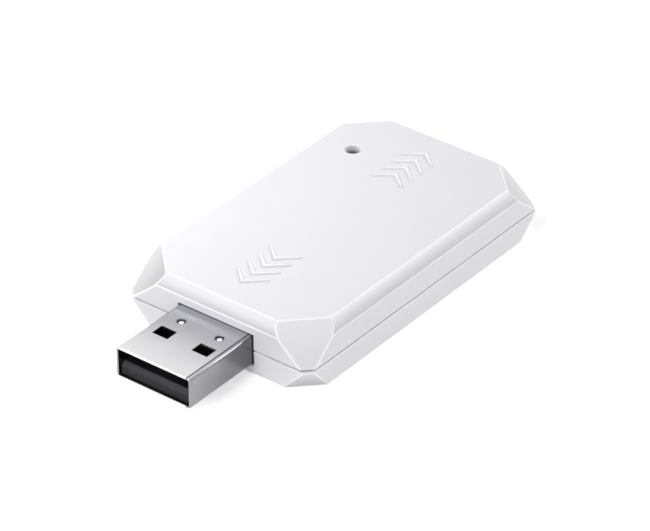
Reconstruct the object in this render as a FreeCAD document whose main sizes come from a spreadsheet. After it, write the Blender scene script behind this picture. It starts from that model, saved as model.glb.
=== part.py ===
"""A wireless network stick that plugs into an appliance's USB-A socket.

Two moulded covers with cut corners hold a main board with its radio module, and the steel
shell of the plug comes out through the front wall. Millimetres, +Z up. The origin is the
middle of the flat underside and the plug points along -Y.
"""
import FreeCAD, Part
import math
import os
import Sketcher

doc = FreeCAD.newDocument("network_stick")

# How far a cut runs past the surface that it opens, and how far a rib runs into its wall
OVERCUT = 1.0
ROOT = 0.2

# Two places closer than this are the same
NEAR = 1e-4

# Driving sizes, in millimetres
SIZES = {
    # housing, outside
    "housing_width": 30.0,
    "housing_length": 50.0,
    "seam_height": 3.75,
    "shoulder_rise": 3.4,
    "crown_rise": 1.7,
    "crown_run": 1.24,
    "crown_bulge": 0.2,
    "side_draft": 0.06,
    "foot_inset": 0.17,
    "seam_corner": 1.15,
    "shoulder_corner": 5.2,
    "foot_corner": 4.5,
    "corner_strip": 0.3,
    "edge_round": 0.2,
    "seam_bevel": 0.1,
    "seam_gap": 0.15,
    # housing, inside
    "wall": 1.4,
    "roof_wall": 1.2,
    "base_wall": 1.2,
    "cavity_draft": 0.1,
    "lip_rise": 0.8,
    "lip_width": 0.55,
    "lip_clearance": 0.1,
    "snap_depth": 0.2,
    "snap_rise": 0.45,
    "snap_half_height": 0.25,
    "snap_length": 4.0,
    "snap_setback": 13.0,
    "snap_clearance": 0.06,
    "post_diameter": 2.4,
    "post_side_setback": 2.2,
    "front_post_setback": 6.5,
    "middle_post_gap": 1.8,
    "rear_post_setback": 4.4,
    "rib_width": 1.0,
    "rib_side": 3.0,
    "saddle_width": 8.0,
    # top cover details
    "lamp_hole": 2.1,
    "lamp_hole_round": 0.25,
    "lamp_side_setback": 6.4,
    "lamp_rear_setback": 10.3,
    "collar_wall": 0.75,
    "collar_clearance": 0.3,
    "chevron_setback": 4.8,
    "chevron_pitch": 2.22,
    "chevron_half_width": 2.7,
    "chevron_depth": 1.45,
    "chevron_tip": 0.55,
    "chevron_rise": 0.22,
    "chevron_taper": 30.0,
    # plug
    "plug_width": 12.0,
    "plug_height": 4.5,
    "plug_reach": 12.3,
    "plug_inside": 6.5,
    "plug_sheet": 0.3,
    "plug_corner": 0.65,
    "plug_side_clearance": 0.15,
    "plug_top_clearance": 0.1,
    "aperture_round": 0.35,
    "window_width": 2.5,
    "window_length": 1.95,
    "window_side": 1.95,
    "window_setback": 5.15,
    "dimple_diameter": 1.2,
    "dimple_side": 3.1,
    "dimple_setback": 9.3,
    "dimple_depth": 0.15,
    "fold_width": 0.1,
    "fold_depth": 0.15,
    "ear_length": 2.0,
    "ear_reach": 1.7,
    "ear_setback": 1.0,
    # plug insulator and contacts
    "insulator_clearance": 0.05,
    "insulator_corner": 0.4,
    "tongue_setback": 0.4,
    "tongue_height": 2.14,
    "tongue_chamfer": 0.65,
    "block_setback": 8.6,
    "contact_width": 1.0,
    "contact_thickness": 0.25,
    "contact_chamfer": 0.12,
    "contact_clearance": 0.02,
    "supply_contact_side": 3.5,
    "data_contact_side": 1.0,
    "supply_contact_setback": 2.75,
    "data_contact_setback": 3.5,
    "contact_tail": 1.6,
    # boards
    "board_thickness": 1.0,
    "board_clearance": 0.6,
    "notch_clearance": 0.25,
    "module_thickness": 0.8,
    "module_length": 19.3,
    "module_rear_margin": 1.2,
    "module_side_margin": 0.8,
    "module_lamp_gap": 3.1,
    "shield_side_margin": 1.0,
    "shield_length": 12.0,
    "shield_rise": 2.2,
    "shield_sheet": 0.2,
    "shield_setback": 0.6,
    "trace_thickness": 0.06,
    "trace_width": 0.9,
    "trace_step": 1.8,
    "trace_gap": 1.6,
    "trace_margin": 0.7,
    "solder_notch": 0.8,
    "solder_notch_first": 2.0,
    "solder_notch_pitch": 1.9,
    "shield_round": 0.3,
    "pin_diameter": 1.1,
    "pin_clearance": 0.1,
    "pin_rise": 1.0,
    # board parts: sizes, then places of their middles, where along counts from the end of the
    # contacts' tails, setback from the nearest side of the board or can, and step and gap from
    # a neighbour
    "cap_share": 0.2,
    "cap_proud": 0.03,
    "lid_inset": 0.12,
    "lead_reach": 0.8,
    "lead_root": 0.2,
    "lead_thickness": 0.15,
    "chip_dot": 0.5,
    "chip_dot_depth": 0.05,
    "small_chip_length": 1.6,
    "small_chip_width": 0.8,
    "small_chip_rise": 0.5,
    "status_led_length": 1.6,
    "status_led_width": 1.2,
    "status_led_rise": 0.7,
    "status_led_lid": 0.3,
    "led_resistor_step": 3.2,
    "esd_diode_length": 2.9,
    "esd_diode_width": 1.6,
    "esd_diode_rise": 1.1,
    "esd_diode_along": 2.2,
    "broad_pitch": 0.95,
    "broad_lead": 0.4,
    "resettable_fuse_length": 3.2,
    "resettable_fuse_width": 1.6,
    "resettable_fuse_rise": 0.8,
    "resettable_fuse_across": 5.4,
    "resettable_fuse_along": 1.6,
    "ferrite_bead_length": 2.0,
    "ferrite_bead_width": 1.25,
    "ferrite_bead_rise": 0.9,
    "ferrite_bead_setback": 3.8,
    "ferrite_bead_along": 4.0,
    "voltage_regulator_length": 6.5,
    "voltage_regulator_width": 3.5,
    "voltage_regulator_rise": 1.6,
    "voltage_regulator_setback": 4.6,
    "voltage_regulator_along": 9.0,
    "regulator_pitch": 2.3,
    "regulator_lead": 0.7,
    "regulator_tab": 3.0,
    "regulator_input_capacitor_length": 3.5,
    "regulator_input_capacitor_width": 2.8,
    "regulator_input_capacitor_rise": 1.9,
    "regulator_input_capacitor_across": 4.4,
    "regulator_input_capacitor_along": 4.5,
    "regulator_output_capacitor_length": 3.5,
    "regulator_output_capacitor_width": 2.8,
    "regulator_output_capacitor_rise": 1.9,
    "regulator_output_capacitor_step": 5.4,
    "bulk_capacitor_length": 6.0,
    "bulk_capacitor_width": 3.2,
    "bulk_capacitor_rise": 2.5,
    "bulk_capacitor_step": 3.6,
    "interface_chip_length": 5.4,
    "interface_chip_width": 4.4,
    "interface_chip_rise": 1.0,
    "interface_chip_step": 5.2,
    "interface_chip_along": 9.0,
    "fine_pitch": 0.65,
    "fine_lead": 0.25,
    "interface_crystal_length": 3.2,
    "interface_crystal_width": 2.5,
    "interface_crystal_rise": 0.8,
    "interface_crystal_lid": 0.2,
    "interface_crystal_setback": 3.0,
    "crystal_load_step": 1.9,
    "chip_row_pitch": 1.9,
    "resistor_row_along": 4.8,
    "capacitor_row_along": 13.2,
    "radio_chip_length": 5.0,
    "radio_chip_width": 5.0,
    "radio_chip_rise": 0.85,
    "radio_flash_chip_length": 4.0,
    "radio_flash_chip_width": 3.0,
    "radio_flash_chip_rise": 0.8,
    "radio_flash_chip_setback": 2.4,
    "radio_crystal_length": 2.5,
    "radio_crystal_width": 2.0,
    "radio_crystal_rise": 0.6,
    "radio_crystal_lid": 0.15,
    "radio_crystal_setback": 1.6,
    "radio_row_along": 0.2,
    "radio_capacitor_step": 4.0,
}

# Counts of what repeats
CHEVRONS = 4
SOLDER_NOTCHES = 8
TRACE_TURNS = 3
CHIPS_IN_ROW = 4

# Places worked out from the driving sizes
PLACES = {
    "half_width": "sizes.housing_width / 2",
    "half_length": "sizes.housing_length / 2",
    "shoulder": "sizes.seam_height + sizes.shoulder_rise",
    "crown": "shoulder + sizes.crown_rise",
    "crown_radius": "(sizes.crown_run^2 + sizes.crown_rise^2 + 4 * sizes.crown_bulge^2)"
                    " / (8 * sizes.crown_bulge)",
    "crown_inset": "sizes.side_draft + sizes.crown_run",
    "top_rim": "sizes.seam_height + sizes.seam_gap / 2",
    "bottom_rim": "sizes.seam_height - sizes.seam_gap / 2",
    "lip_top": "sizes.seam_height + sizes.lip_rise",
    "ceiling": "crown - sizes.roof_wall",
    # each corner facet is the plane where |x| + |y| reaches a sum that changes with height
    "full_sum": "half_width + half_length",
    "seam_sum": "full_sum - sizes.seam_corner",
    "upper_lean": "(sizes.shoulder_corner - sizes.seam_corner) / sizes.shoulder_rise",
    "strip_end": "bottom_rim - sizes.corner_strip",
    "lower_lean": "(sizes.foot_corner - sizes.seam_corner) / strip_end",
    "snap_station": "half_length - sizes.snap_setback",
    "lamp_x": "sizes.lamp_side_setback - half_width",
    "lamp_y": "half_length - sizes.lamp_rear_setback",
    "chevron_apex": "half_length - sizes.chevron_setback",
    "upper_wall_sum": "sizes.wall * sqrt(2 + upper_lean^2)",
    "lower_wall_sum": "sizes.wall * sqrt(2 + lower_lean^2)",
    "skin": "sizes.wall - sizes.lip_width - sizes.lip_clearance",
    "rabbet_sum": "seam_sum - upper_lean * sizes.lip_rise - skin * sqrt(2)",
    "lip_sum": "rabbet_sum - sizes.lip_clearance * sqrt(2)",
    "cavity_sum": "lip_sum - sizes.lip_width * sqrt(2)",
    "ceiling_sum": "seam_sum - upper_lean * (ceiling - sizes.seam_height) - upper_wall_sum",
    "floor_sum": "seam_sum - lower_lean * (strip_end - sizes.base_wall) - lower_wall_sum",
    "upper_cavity_lean": "(cavity_sum - ceiling_sum) / (ceiling - top_rim)",
    "lower_cavity_lean": "(cavity_sum - floor_sum) / (bottom_rim - sizes.base_wall)",
    "inner_width": "half_width - sizes.wall",
    "inner_length": "half_length - sizes.wall",
    # plug
    "plug_top": "sizes.seam_height + sizes.plug_height / 2",
    "plug_bottom": "sizes.seam_height - sizes.plug_height / 2",
    "mouth": "0 - half_length - sizes.plug_reach",
    "plug_end": "sizes.plug_inside - half_length",
    "plug_length": "plug_end - mouth",
    "tail_end": "plug_end + sizes.contact_tail",
    "tongue_top": "plug_bottom + sizes.tongue_height",
    "block_face": "mouth + sizes.block_setback",
    "insulator_side": "sizes.plug_width / 2 - sizes.plug_sheet - sizes.insulator_clearance",
    "insulator_bottom": "plug_bottom + sizes.plug_sheet",
    "insulator_top": "plug_top - sizes.plug_sheet - sizes.insulator_clearance",
    # boards
    "board_top": "sizes.seam_height - sizes.contact_thickness",
    "board_bottom": "board_top - sizes.board_thickness",
    "board_side": "inner_width - sizes.board_clearance",
    "board_end": "inner_length - sizes.board_clearance",
    "board_sum": "cavity_sum - lower_cavity_lean * (bottom_rim - board_bottom)"
                 " - sizes.board_clearance * sqrt(2)",
    "module_top": "board_top + sizes.module_thickness",
    "module_rear": "board_end - sizes.module_rear_margin",
    "module_front": "module_rear - sizes.module_length",
    "module_left": "lamp_x + sizes.module_lamp_gap",
    "module_right": "board_side - sizes.module_side_margin",
    "shield_left": "module_left + sizes.shield_side_margin",
    "shield_right": "module_right - sizes.shield_side_margin",
    "shield_front": "module_front + sizes.shield_setback",
    "shield_rear": "shield_front + sizes.shield_length",
    "shield_station": "shield_front + sizes.shield_length / 2",
    "post_side": "board_side - sizes.post_side_setback",
    "front_post": "sizes.front_post_setback - board_end",
    "middle_post": "module_front - sizes.middle_post_gap",
    "rear_post": "board_end - sizes.rear_post_setback",
    # middles of the parts that keep their distance from a side of the board or from the can
    "crystal_x": "sizes.interface_crystal_setback - board_side",
    "interface_x": "crystal_x + sizes.interface_chip_step",
    "regulator_x": "board_side - sizes.voltage_regulator_setback",
    "radio_crystal_x": "shield_left + sizes.radio_crystal_setback",
    "radio_flash_x": "shield_right - sizes.radio_flash_chip_setback",
    "radio_chip_x": "(radio_crystal_x + sizes.radio_crystal_length / 2 + radio_flash_x"
                    " - sizes.radio_flash_chip_length / 2) / 2",
}


# Stations of the posts whose pins pass through the main board
PINNED_POSTS = ["places.front_post", "places.middle_post"]


def add_sheet(name, cells):
    """Adds a spreadsheet with one aliased cell for each entry."""
    sheet = doc.addObject("Spreadsheet::Sheet", name)
    for row, (alias, content) in enumerate(cells.items(), start=1):
        sheet.set(f"A{row}", alias)
        sheet.set(f"B{row}", content)
        sheet.setAlias(f"B{row}", alias)
    return sheet


sizes = add_sheet("sizes", {alias: str(number) for alias, number in SIZES.items()})
places = add_sheet("places", {alias: f"={formula}" for alias, formula in PLACES.items()})
doc.recompute()


def worked_out(formula):
    """The present value of a formula of sheet cells."""
    return float(sizes.evalExpression(str(formula)))


def bind(thing, prop, formula):
    """Ties a property to a formula of sheet cells."""
    thing.setExpression(prop, str(formula))


def origin_plane(body, role):
    """One of a body's own origin planes."""
    return next(item for item in body.Origin.OriginFeatures if item.Role == role)


subparts = []


def new_body(label):
    """An empty body that becomes the sub-part of that name."""
    body = doc.addObject("PartDesign::Body", label)
    body.Label = label
    subparts.append(body)
    return body


def new_sketch(body, name, role, offset="0", turn=0.0):
    """A sketch on an origin plane, moved along its normal and turned about its upright axis."""
    sketch = body.newObject("Sketcher::SketchObject", name)
    sketch.AttachmentSupport = [(origin_plane(body, role), "")]
    sketch.MapMode = "FlatFace"
    turned = FreeCAD.Rotation(FreeCAD.Vector(0, 1, 0), turn)
    sketch.AttachmentOffset = FreeCAD.Placement(FreeCAD.Vector(0, 0, 0), turned)
    bind(sketch, "AttachmentOffset.Base.z", offset)
    return sketch


def arc_between(start, end, radius, turn):
    """An arc from start to end that curves to the left (turn 1) or to the right (turn -1)."""
    chord = end - start
    reach = math.sqrt(max(radius ** 2 - chord.Length ** 2 / 4, 0.0))
    across = FreeCAD.Vector(-chord.y, chord.x, 0).normalize()
    centre = (start + end) / 2 + across * reach * turn
    first, last = (start, end) if turn > 0 else (end, start)
    angles = [math.atan2(p.y - centre.y, p.x - centre.x) for p in (first, last)]
    circle = Part.Circle(centre, FreeCAD.Vector(0, 0, 1), radius)
    return Part.ArcOfCircle(circle, angles[0], angles[1])


def draw_outline(sketch, corners, arcs=None):
    """Draws a closed outline through corners, which are pairs of formulas.

    arcs maps the number of a corner to the radius formula and the turn of the arc that
    leaves it; the other sides are straight.
    """
    arcs = arcs or {}
    points = [FreeCAD.Vector(worked_out(a), worked_out(b), 0) for a, b in corners]
    sides = []
    for number, start in enumerate(points):
        end = points[(number + 1) % len(points)]
        if number in arcs:
            radius, turn = arcs[number]
            side = sketch.addGeometry(arc_between(start, end, worked_out(radius), turn), False)
            rule = sketch.addConstraint(Sketcher.Constraint("Radius", side, worked_out(radius)))
            sketch.setExpression(f"Constraints[{rule}]", str(radius))
            sides.append((side, 1, 2) if turn > 0 else (side, 2, 1))
        else:
            side = sketch.addGeometry(Part.LineSegment(start, end), False)
            sides.append((side, 1, 2))
    for number, (side, head, tail) in enumerate(sides):
        follower, follower_head, _ = sides[(number + 1) % len(sides)]
        sketch.addConstraint(Sketcher.Constraint("Coincident", side, tail, follower, follower_head))
        for kind, formula in zip(("DistanceX", "DistanceY"), corners[number]):
            rule = sketch.addConstraint(
                Sketcher.Constraint(kind, -1, 1, side, head, worked_out(formula)))
            sketch.setExpression(f"Constraints[{rule}]", str(formula))


def draw_circle(sketch, x, y, diameter):
    """Draws a circle from the formulas of its centre and diameter."""
    centre = FreeCAD.Vector(worked_out(x), worked_out(y), 0)
    ring = sketch.addGeometry(
        Part.Circle(centre, FreeCAD.Vector(0, 0, 1), worked_out(diameter) / 2), False)
    for kind, formula in (("DistanceX", x), ("DistanceY", y)):
        rule = sketch.addConstraint(
            Sketcher.Constraint(kind, -1, 1, ring, 3, worked_out(formula)))
        sketch.setExpression(f"Constraints[{rule}]", str(formula))
    rule = sketch.addConstraint(Sketcher.Constraint("Diameter", ring, worked_out(diameter)))
    sketch.setExpression(f"Constraints[{rule}]", str(diameter))


def draw_rectangle(sketch, left, low, right, high):
    """Draws an upright rectangle from the formulas of its four sides."""
    draw_outline(sketch, [(left, low), (right, low), (right, high), (left, high)])


def draw_octagon(sketch, half_x, half_y, corner_sum):
    """Draws a rectangle whose corners are cut where |x| + |y| reaches corner_sum."""
    x, y = f"({half_x})", f"({half_y})"
    across, along = f"(({corner_sum}) - {y})", f"(({corner_sum}) - {x})"
    draw_outline(sketch, [
        (x, f"0 - {along}"), (x, along), (across, y), (f"0 - {across}", y),
        (f"0 - {x}", along), (f"0 - {x}", f"0 - {along}"),
        (f"0 - {across}", f"0 - {y}"), (across, f"0 - {y}")])


def extrude(body, kind, sketch, length, both_ways=False, reverse=False, taper=None):
    """Adds a pad or a pocket of a sketch, checking that it changes the body's volume."""
    before = body.Shape.Volume if body.Tip else 0.0
    feature = body.newObject(f"PartDesign::{kind}", f"{sketch.Name}_{kind.lower()}")
    feature.Profile = sketch
    feature.SideType = "Symmetric" if both_ways else "One side"
    feature.Reversed = reverse
    bind(feature, "Length", length)
    if taper:
        bind(feature, "TaperAngle", taper)
    doc.recompute()
    grown = body.Shape.Volume - before
    if grown * (1 if kind == "Pad" else -1) <= 0:
        raise ValueError(f"{feature.Name} changes nothing")
    return feature


def mirror(body, features, role):
    """Repeats features on the other side of an origin plane."""
    copies = body.newObject("PartDesign::Mirrored", f"{features[-1].Name}_mirrored")
    copies.Originals = features
    copies.MirrorPlane = (origin_plane(body, role), [""])
    body.Tip = copies
    doc.recompute()
    return copies


def edge_names(body, chosen):
    """The names of the edges of the body's last feature that pass a test."""
    return [f"Edge{number}" for number, edge in enumerate(body.Tip.Shape.Edges, start=1)
            if chosen(edge)]


def round_edges(body, name, radius, chosen):
    """Rounds the edges of the body's last feature that pass the test."""
    base = (body.Tip, edge_names(body, chosen))
    fillet = body.newObject("PartDesign::Fillet", name)
    fillet.Base = base
    bind(fillet, "Radius", radius)
    doc.recompute()


def bevel_edges(body, name, size, chosen):
    """Bevels the edges of the body's last feature that pass the test."""
    base = (body.Tip, edge_names(body, chosen))
    chamfer = body.newObject("PartDesign::Chamfer", name)
    chamfer.Base = base
    bind(chamfer, "Size", size)
    doc.recompute()


def level(edge, height):
    """Whether an edge lies in the level plane at that height."""
    box = edge.BoundBox
    return abs(box.ZMin - height) < NEAR and abs(box.ZMax - height) < NEAR


def drafted_block(body, corners, arcs=None):
    """The housing's block, with the same side profile on all four sides.

    corners gives the profile upwards, as pairs of the inset from the full size and the
    height, and arcs maps the number of a corner to the arc that leaves it.
    """
    arcs = arcs or {}
    section = new_sketch(body, "cross_section", "XZ_Plane")
    right = [(f"places.half_width - ({inset})", height) for inset, height in corners]
    left = [(f"({inset}) - places.half_width", height) for inset, height in reversed(corners)]
    sides = dict(arcs)
    count = len(corners)
    for number, (radius, turn) in arcs.items():
        sides[2 * count - 2 - number] = (radius, turn)
    draw_outline(section, right + left, sides)
    extrude(body, "Pad", section, "sizes.housing_length", both_ways=True)

    trim = new_sketch(body, "end_trim", "YZ_Plane")
    out = f"(places.half_length + {OVERCUT})"
    for sign in ("", "0 - "):
        inner = [(f"{sign}(places.half_length - ({inset}))", height) for inset, height in corners]
        outer = [(f"{sign}{out}", corners[-1][1]), (f"{sign}{out}", corners[0][1])]
        flip = 1 if sign == "" else -1
        draw_outline(trim, inner + outer, {n: (r, turn * flip) for n, (r, turn) in arcs.items()})
    extrude(body, "Pocket", trim, f"sizes.housing_width + 2 * {OVERCUT}", both_ways=True)


def cut_corners(body, name, profile):
    """Cuts all four corners to one slanted facet each.

    profile gives the facet's outline in the upright plane through the corner: pairs of
    corner sum and height.
    """
    sketch = new_sketch(body, name, "XZ_Plane", turn=45.0)
    out = f"(places.full_sum + {OVERCUT}) / sqrt(2)"
    for sign in ("", "0 - "):
        inner = [(f"{sign}({total}) / sqrt(2)", height) for total, height in profile]
        outer = [(f"{sign}{out}", profile[-1][1]), (f"{sign}{out}", profile[0][1])]
        draw_outline(sketch, inner + outer)
    pocket = extrude(body, "Pocket", sketch, "sizes.housing_width + sizes.housing_length",
                     both_ways=True)
    return mirror(body, [pocket], "YZ_Plane")


def hollow(body, name, corners, profile):
    """Cuts a drafted block with slanted corners out of a body.

    corners and profile are those of drafted_block and cut_corners.
    """
    space = doc.addObject("PartDesign::Body", name)
    drafted_block(space, corners)
    cut_corners(space, f"{name}_corners", profile)
    cut = body.newObject("PartDesign::Boolean", f"{name}_cut")
    cut.Type = "Cut"
    cut.setObjects([space])
    doc.recompute()


def post_circles(sketch, stations, diameter):
    """Draws circles on the axes of the board's posts, one pair at each station."""
    for station in stations:
        for side in ("places.post_side", "0 - places.post_side"):
            draw_circle(sketch, side, station, diameter)


def chevron(sketch, number, front):
    """Draws one chevron that points away from the middle of the top."""
    sign = "0 - " if front else ""
    apex = f"(places.chevron_apex - {number} * sizes.chevron_pitch)"
    tip = f"({apex} - sizes.chevron_half_width)"
    inner_apex = f"({apex} - sizes.chevron_depth)"
    inner_tip = f"({tip} - sizes.chevron_tip)"
    wide = "sizes.chevron_half_width"
    draw_outline(sketch, [
        ("0", f"{sign}{apex}"), (wide, f"{sign}{tip}"), (wide, f"{sign}{inner_tip}"),
        ("0", f"{sign}{inner_apex}"),
        (f"0 - {wide}", f"{sign}{inner_tip}"), (f"0 - {wide}", f"{sign}{tip}")])


def aperture_profile(body, name, outline, arcs):
    """Cuts a cover's half of the plug's opening through the front wall."""
    sketch = new_sketch(body, name, "XZ_Plane", f"places.half_length + {OVERCUT}")
    draw_outline(sketch, outline, arcs)
    extrude(body, "Pocket", sketch, f"{OVERCUT} + sizes.wall + 2 * sizes.cavity_draft")


def snap_wedges(body, name, kind, root, tip, half_height, length):
    """Adds or cuts the wedges of the four snaps, two on each long side."""
    sketch = new_sketch(body, name, "XZ_Plane", "0 - places.snap_station")
    middle = "(sizes.seam_height + sizes.snap_rise)"
    for sign in ("", "0 - "):
        draw_outline(sketch, [
            (f"{sign}({root})", f"{middle} - ({half_height})"), (f"{sign}({tip})", middle),
            (f"{sign}({root})", f"{middle} + ({half_height})")])
    return mirror(body, [extrude(body, kind, sketch, length, both_ways=True)], "XZ_Plane")


def top_cover():
    """The upper cover: flat top, convex shoulder band, slanted corners, chevrons, lamp hole."""
    body = new_body("top_cover")
    drafted_block(body, [
        ("0", "places.top_rim"), ("sizes.side_draft", "places.shoulder"),
        ("places.crown_inset", "places.crown")], {1: ("places.crown_radius", 1)})
    above = f"(places.crown + {OVERCUT})"
    cut_corners(body, "upper_corners", [
        ("places.seam_sum", "sizes.seam_height"),
        (f"places.seam_sum - places.upper_lean * ({above} - sizes.seam_height)", above)])
    rim = worked_out("places.top_rim")
    round_edges(body, "outer_rounds", "sizes.edge_round", lambda edge: not level(edge, rim))
    bevel_edges(body, "rim_bevels", "sizes.seam_bevel", lambda edge: level(edge, rim))

    lean = "places.upper_cavity_lean"
    hollow(body, "upper_cavity", [
        ("sizes.wall", f"places.top_rim - {OVERCUT}"),
        ("sizes.wall + sizes.cavity_draft", "places.ceiling")], [
        (f"places.cavity_sum + 2 * {OVERCUT} * {lean}", f"places.top_rim - 2 * {OVERCUT}"),
        (f"places.ceiling_sum - {OVERCUT} * {lean}", f"places.ceiling + {OVERCUT}")])
    rabbet = new_sketch(body, "rabbet", "XY_Plane", "places.lip_top")
    draw_octagon(rabbet, "places.half_width - places.skin", "places.half_length - places.skin",
                 "places.rabbet_sum")
    extrude(body, "Pocket", rabbet, "sizes.lip_rise")
    snap_wedges(body, "snap_grooves", "Pocket", f"places.half_width - places.skin - {ROOT}",
                "places.half_width - places.skin + sizes.snap_depth + sizes.snap_clearance",
                "sizes.snap_half_height + 2 * sizes.snap_clearance",
                "sizes.snap_length + 2 * sizes.snap_clearance")

    wide = "(sizes.plug_width / 2 + sizes.plug_side_clearance)"
    round_end = f"({wide} + sizes.aperture_round)"
    low = "(places.top_rim + sizes.aperture_round)"
    high = "(places.plug_top + sizes.plug_top_clearance)"
    below = f"places.top_rim - {OVERCUT}"
    aperture_profile(body, "upper_aperture", [
        (f"0 - {round_end}", below), (round_end, below),
        (round_end, "places.top_rim"), (wide, low), (wide, high),
        (f"0 - {wide}", high), (f"0 - {wide}", low), (f"0 - {round_end}", "places.top_rim")],
        {2: ("sizes.aperture_round", -1), 6: ("sizes.aperture_round", -1)})

    into_roof = "places.ceiling + sizes.roof_wall / 2"
    posts = new_sketch(body, "upper_posts", "XY_Plane", "places.board_top")
    post_circles(posts, PINNED_POSTS, "sizes.post_diameter")
    extrude(body, "Pad", posts, f"{into_roof} - places.board_top")
    sockets = new_sketch(body, "pin_sockets", "XY_Plane", "places.board_top")
    post_circles(sockets, PINNED_POSTS, "sizes.pin_diameter + 2 * sizes.pin_clearance")
    extrude(body, "Pocket", sockets, "sizes.pin_rise + sizes.pin_clearance", reverse=True)
    ribs = new_sketch(body, "plug_ribs", "XY_Plane", "places.plug_top")
    for side in ("sizes.rib_side", "0 - sizes.rib_side"):
        draw_rectangle(ribs, f"{side} - sizes.rib_width / 2", f"0 - places.inner_length - {ROOT}",
                       f"{side} + sizes.rib_width / 2", "places.plug_end")
    extrude(body, "Pad", ribs, f"{into_roof} - places.plug_top")

    lamp = ("places.lamp_x", "places.lamp_y")
    collar_low = "places.board_top + sizes.status_led_rise + sizes.collar_clearance"
    collar = new_sketch(body, "light_collar", "XY_Plane", collar_low)
    draw_circle(collar, *lamp, "sizes.lamp_hole + 2 * sizes.collar_wall")
    extrude(body, "Pad", collar, f"{into_roof} - ({collar_low})")
    hole = new_sketch(body, "lamp_hole", "XY_Plane", "places.crown")
    draw_circle(hole, *lamp, "sizes.lamp_hole")
    extrude(body, "Pocket", hole, f"places.crown - ({collar_low})")
    crown, lamp_x = worked_out("places.crown"), worked_out(lamp[0])
    round_edges(body, "lamp_hole_rim", "sizes.lamp_hole_round",
                lambda edge: level(edge, crown) and abs(edge.CenterOfMass.x - lamp_x) < NEAR)

    raised = new_sketch(body, "chevrons", "XY_Plane", "places.crown")
    for number in range(CHEVRONS):
        chevron(raised, number, front=False)
        chevron(raised, number, front=True)
    extrude(body, "Pad", raised, "sizes.chevron_rise", taper="0 - sizes.chevron_taper")


def bottom_cover():
    """The lower cover: flat underside, slanted corners, inner lip, posts and plug saddle."""
    body = new_body("bottom_cover")
    drafted_block(body, [("sizes.foot_inset", "0"), ("0", "places.bottom_rim")])
    cut_corners(body, "lower_corners", [
        (f"places.seam_sum - places.lower_lean * (places.strip_end + {OVERCUT})", f"0 - {OVERCUT}"),
        ("places.seam_sum", "places.strip_end"), ("places.seam_sum", "sizes.seam_height")])
    rim = worked_out("places.bottom_rim")
    round_edges(body, "outer_rounds", "sizes.edge_round", lambda edge: not level(edge, rim))
    bevel_edges(body, "rim_bevels", "sizes.seam_bevel", lambda edge: level(edge, rim))

    lean = "places.lower_cavity_lean"
    hollow(body, "lower_cavity", [
        ("sizes.wall + sizes.cavity_draft", "sizes.base_wall"),
        ("sizes.wall", f"places.bottom_rim + {OVERCUT}")], [
        (f"places.floor_sum - {OVERCUT} * {lean}", f"sizes.base_wall - {OVERCUT}"),
        (f"places.cavity_sum + 2 * {OVERCUT} * {lean}", f"places.bottom_rim + 2 * {OVERCUT}")])
    lip = new_sketch(body, "inner_lip", "XY_Plane", "places.bottom_rim")
    draw_octagon(lip, "places.half_width - places.skin - sizes.lip_clearance",
                 "places.half_length - places.skin - sizes.lip_clearance", "places.lip_sum")
    draw_octagon(lip, "places.inner_width", "places.inner_length", "places.cavity_sum")
    extrude(body, "Pad", lip, "places.lip_top - places.bottom_rim")
    snap_wedges(body, "snap_beads", "Pad", "places.half_width - places.skin - sizes.lip_clearance",
                "places.half_width - places.skin + sizes.snap_depth", "sizes.snap_half_height",
                "sizes.snap_length")

    wide = "(sizes.plug_width / 2 + sizes.plug_side_clearance)"
    round_end = f"({wide} + sizes.aperture_round)"
    high = "(places.bottom_rim - sizes.aperture_round)"
    low = "(places.plug_bottom - sizes.plug_top_clearance)"
    above = f"places.lip_top + {OVERCUT}"
    aperture_profile(body, "lower_aperture", [
        (f"0 - {wide}", low), (wide, low), (wide, high), (round_end, "places.bottom_rim"),
        (round_end, above), (f"0 - {round_end}", above), (f"0 - {round_end}", "places.bottom_rim"),
        (f"0 - {wide}", high)],
        {2: ("sizes.aperture_round", -1), 6: ("sizes.aperture_round", -1)})

    posts = new_sketch(body, "lower_posts", "XY_Plane", "sizes.base_wall / 2")
    post_circles(posts, PINNED_POSTS + ["places.rear_post"], "sizes.post_diameter")
    extrude(body, "Pad", posts, "places.board_bottom - sizes.base_wall / 2")
    pins = new_sketch(body, "locating_pins", "XY_Plane", "places.board_bottom")
    post_circles(pins, PINNED_POSTS, "sizes.pin_diameter")
    extrude(body, "Pad", pins, "sizes.board_thickness + sizes.pin_rise")
    saddle = new_sketch(body, "plug_saddle", "XY_Plane", "sizes.base_wall / 2")
    draw_rectangle(saddle, "0 - sizes.saddle_width / 2", f"0 - places.inner_length - {ROOT}",
                   "sizes.saddle_width / 2", "places.plug_end")
    extrude(body, "Pad", saddle, "places.plug_bottom - sizes.base_wall / 2")


def rounded_rectangle(sketch, half_width, low, high, radius):
    """Draws a rectangle with round corners from the formulas of its sides."""
    inner = f"({half_width} - {radius})"
    draw_outline(sketch, [
        (f"0 - {inner}", low), (inner, low), (half_width, f"{low} + {radius}"),
        (half_width, f"{high} - {radius}"), (inner, high), (f"0 - {inner}", high),
        (f"0 - {half_width}", f"{high} - {radius}"), (f"0 - {half_width}", f"{low} + {radius}")],
        {number: (radius, 1) for number in (1, 3, 5, 7)})


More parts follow.
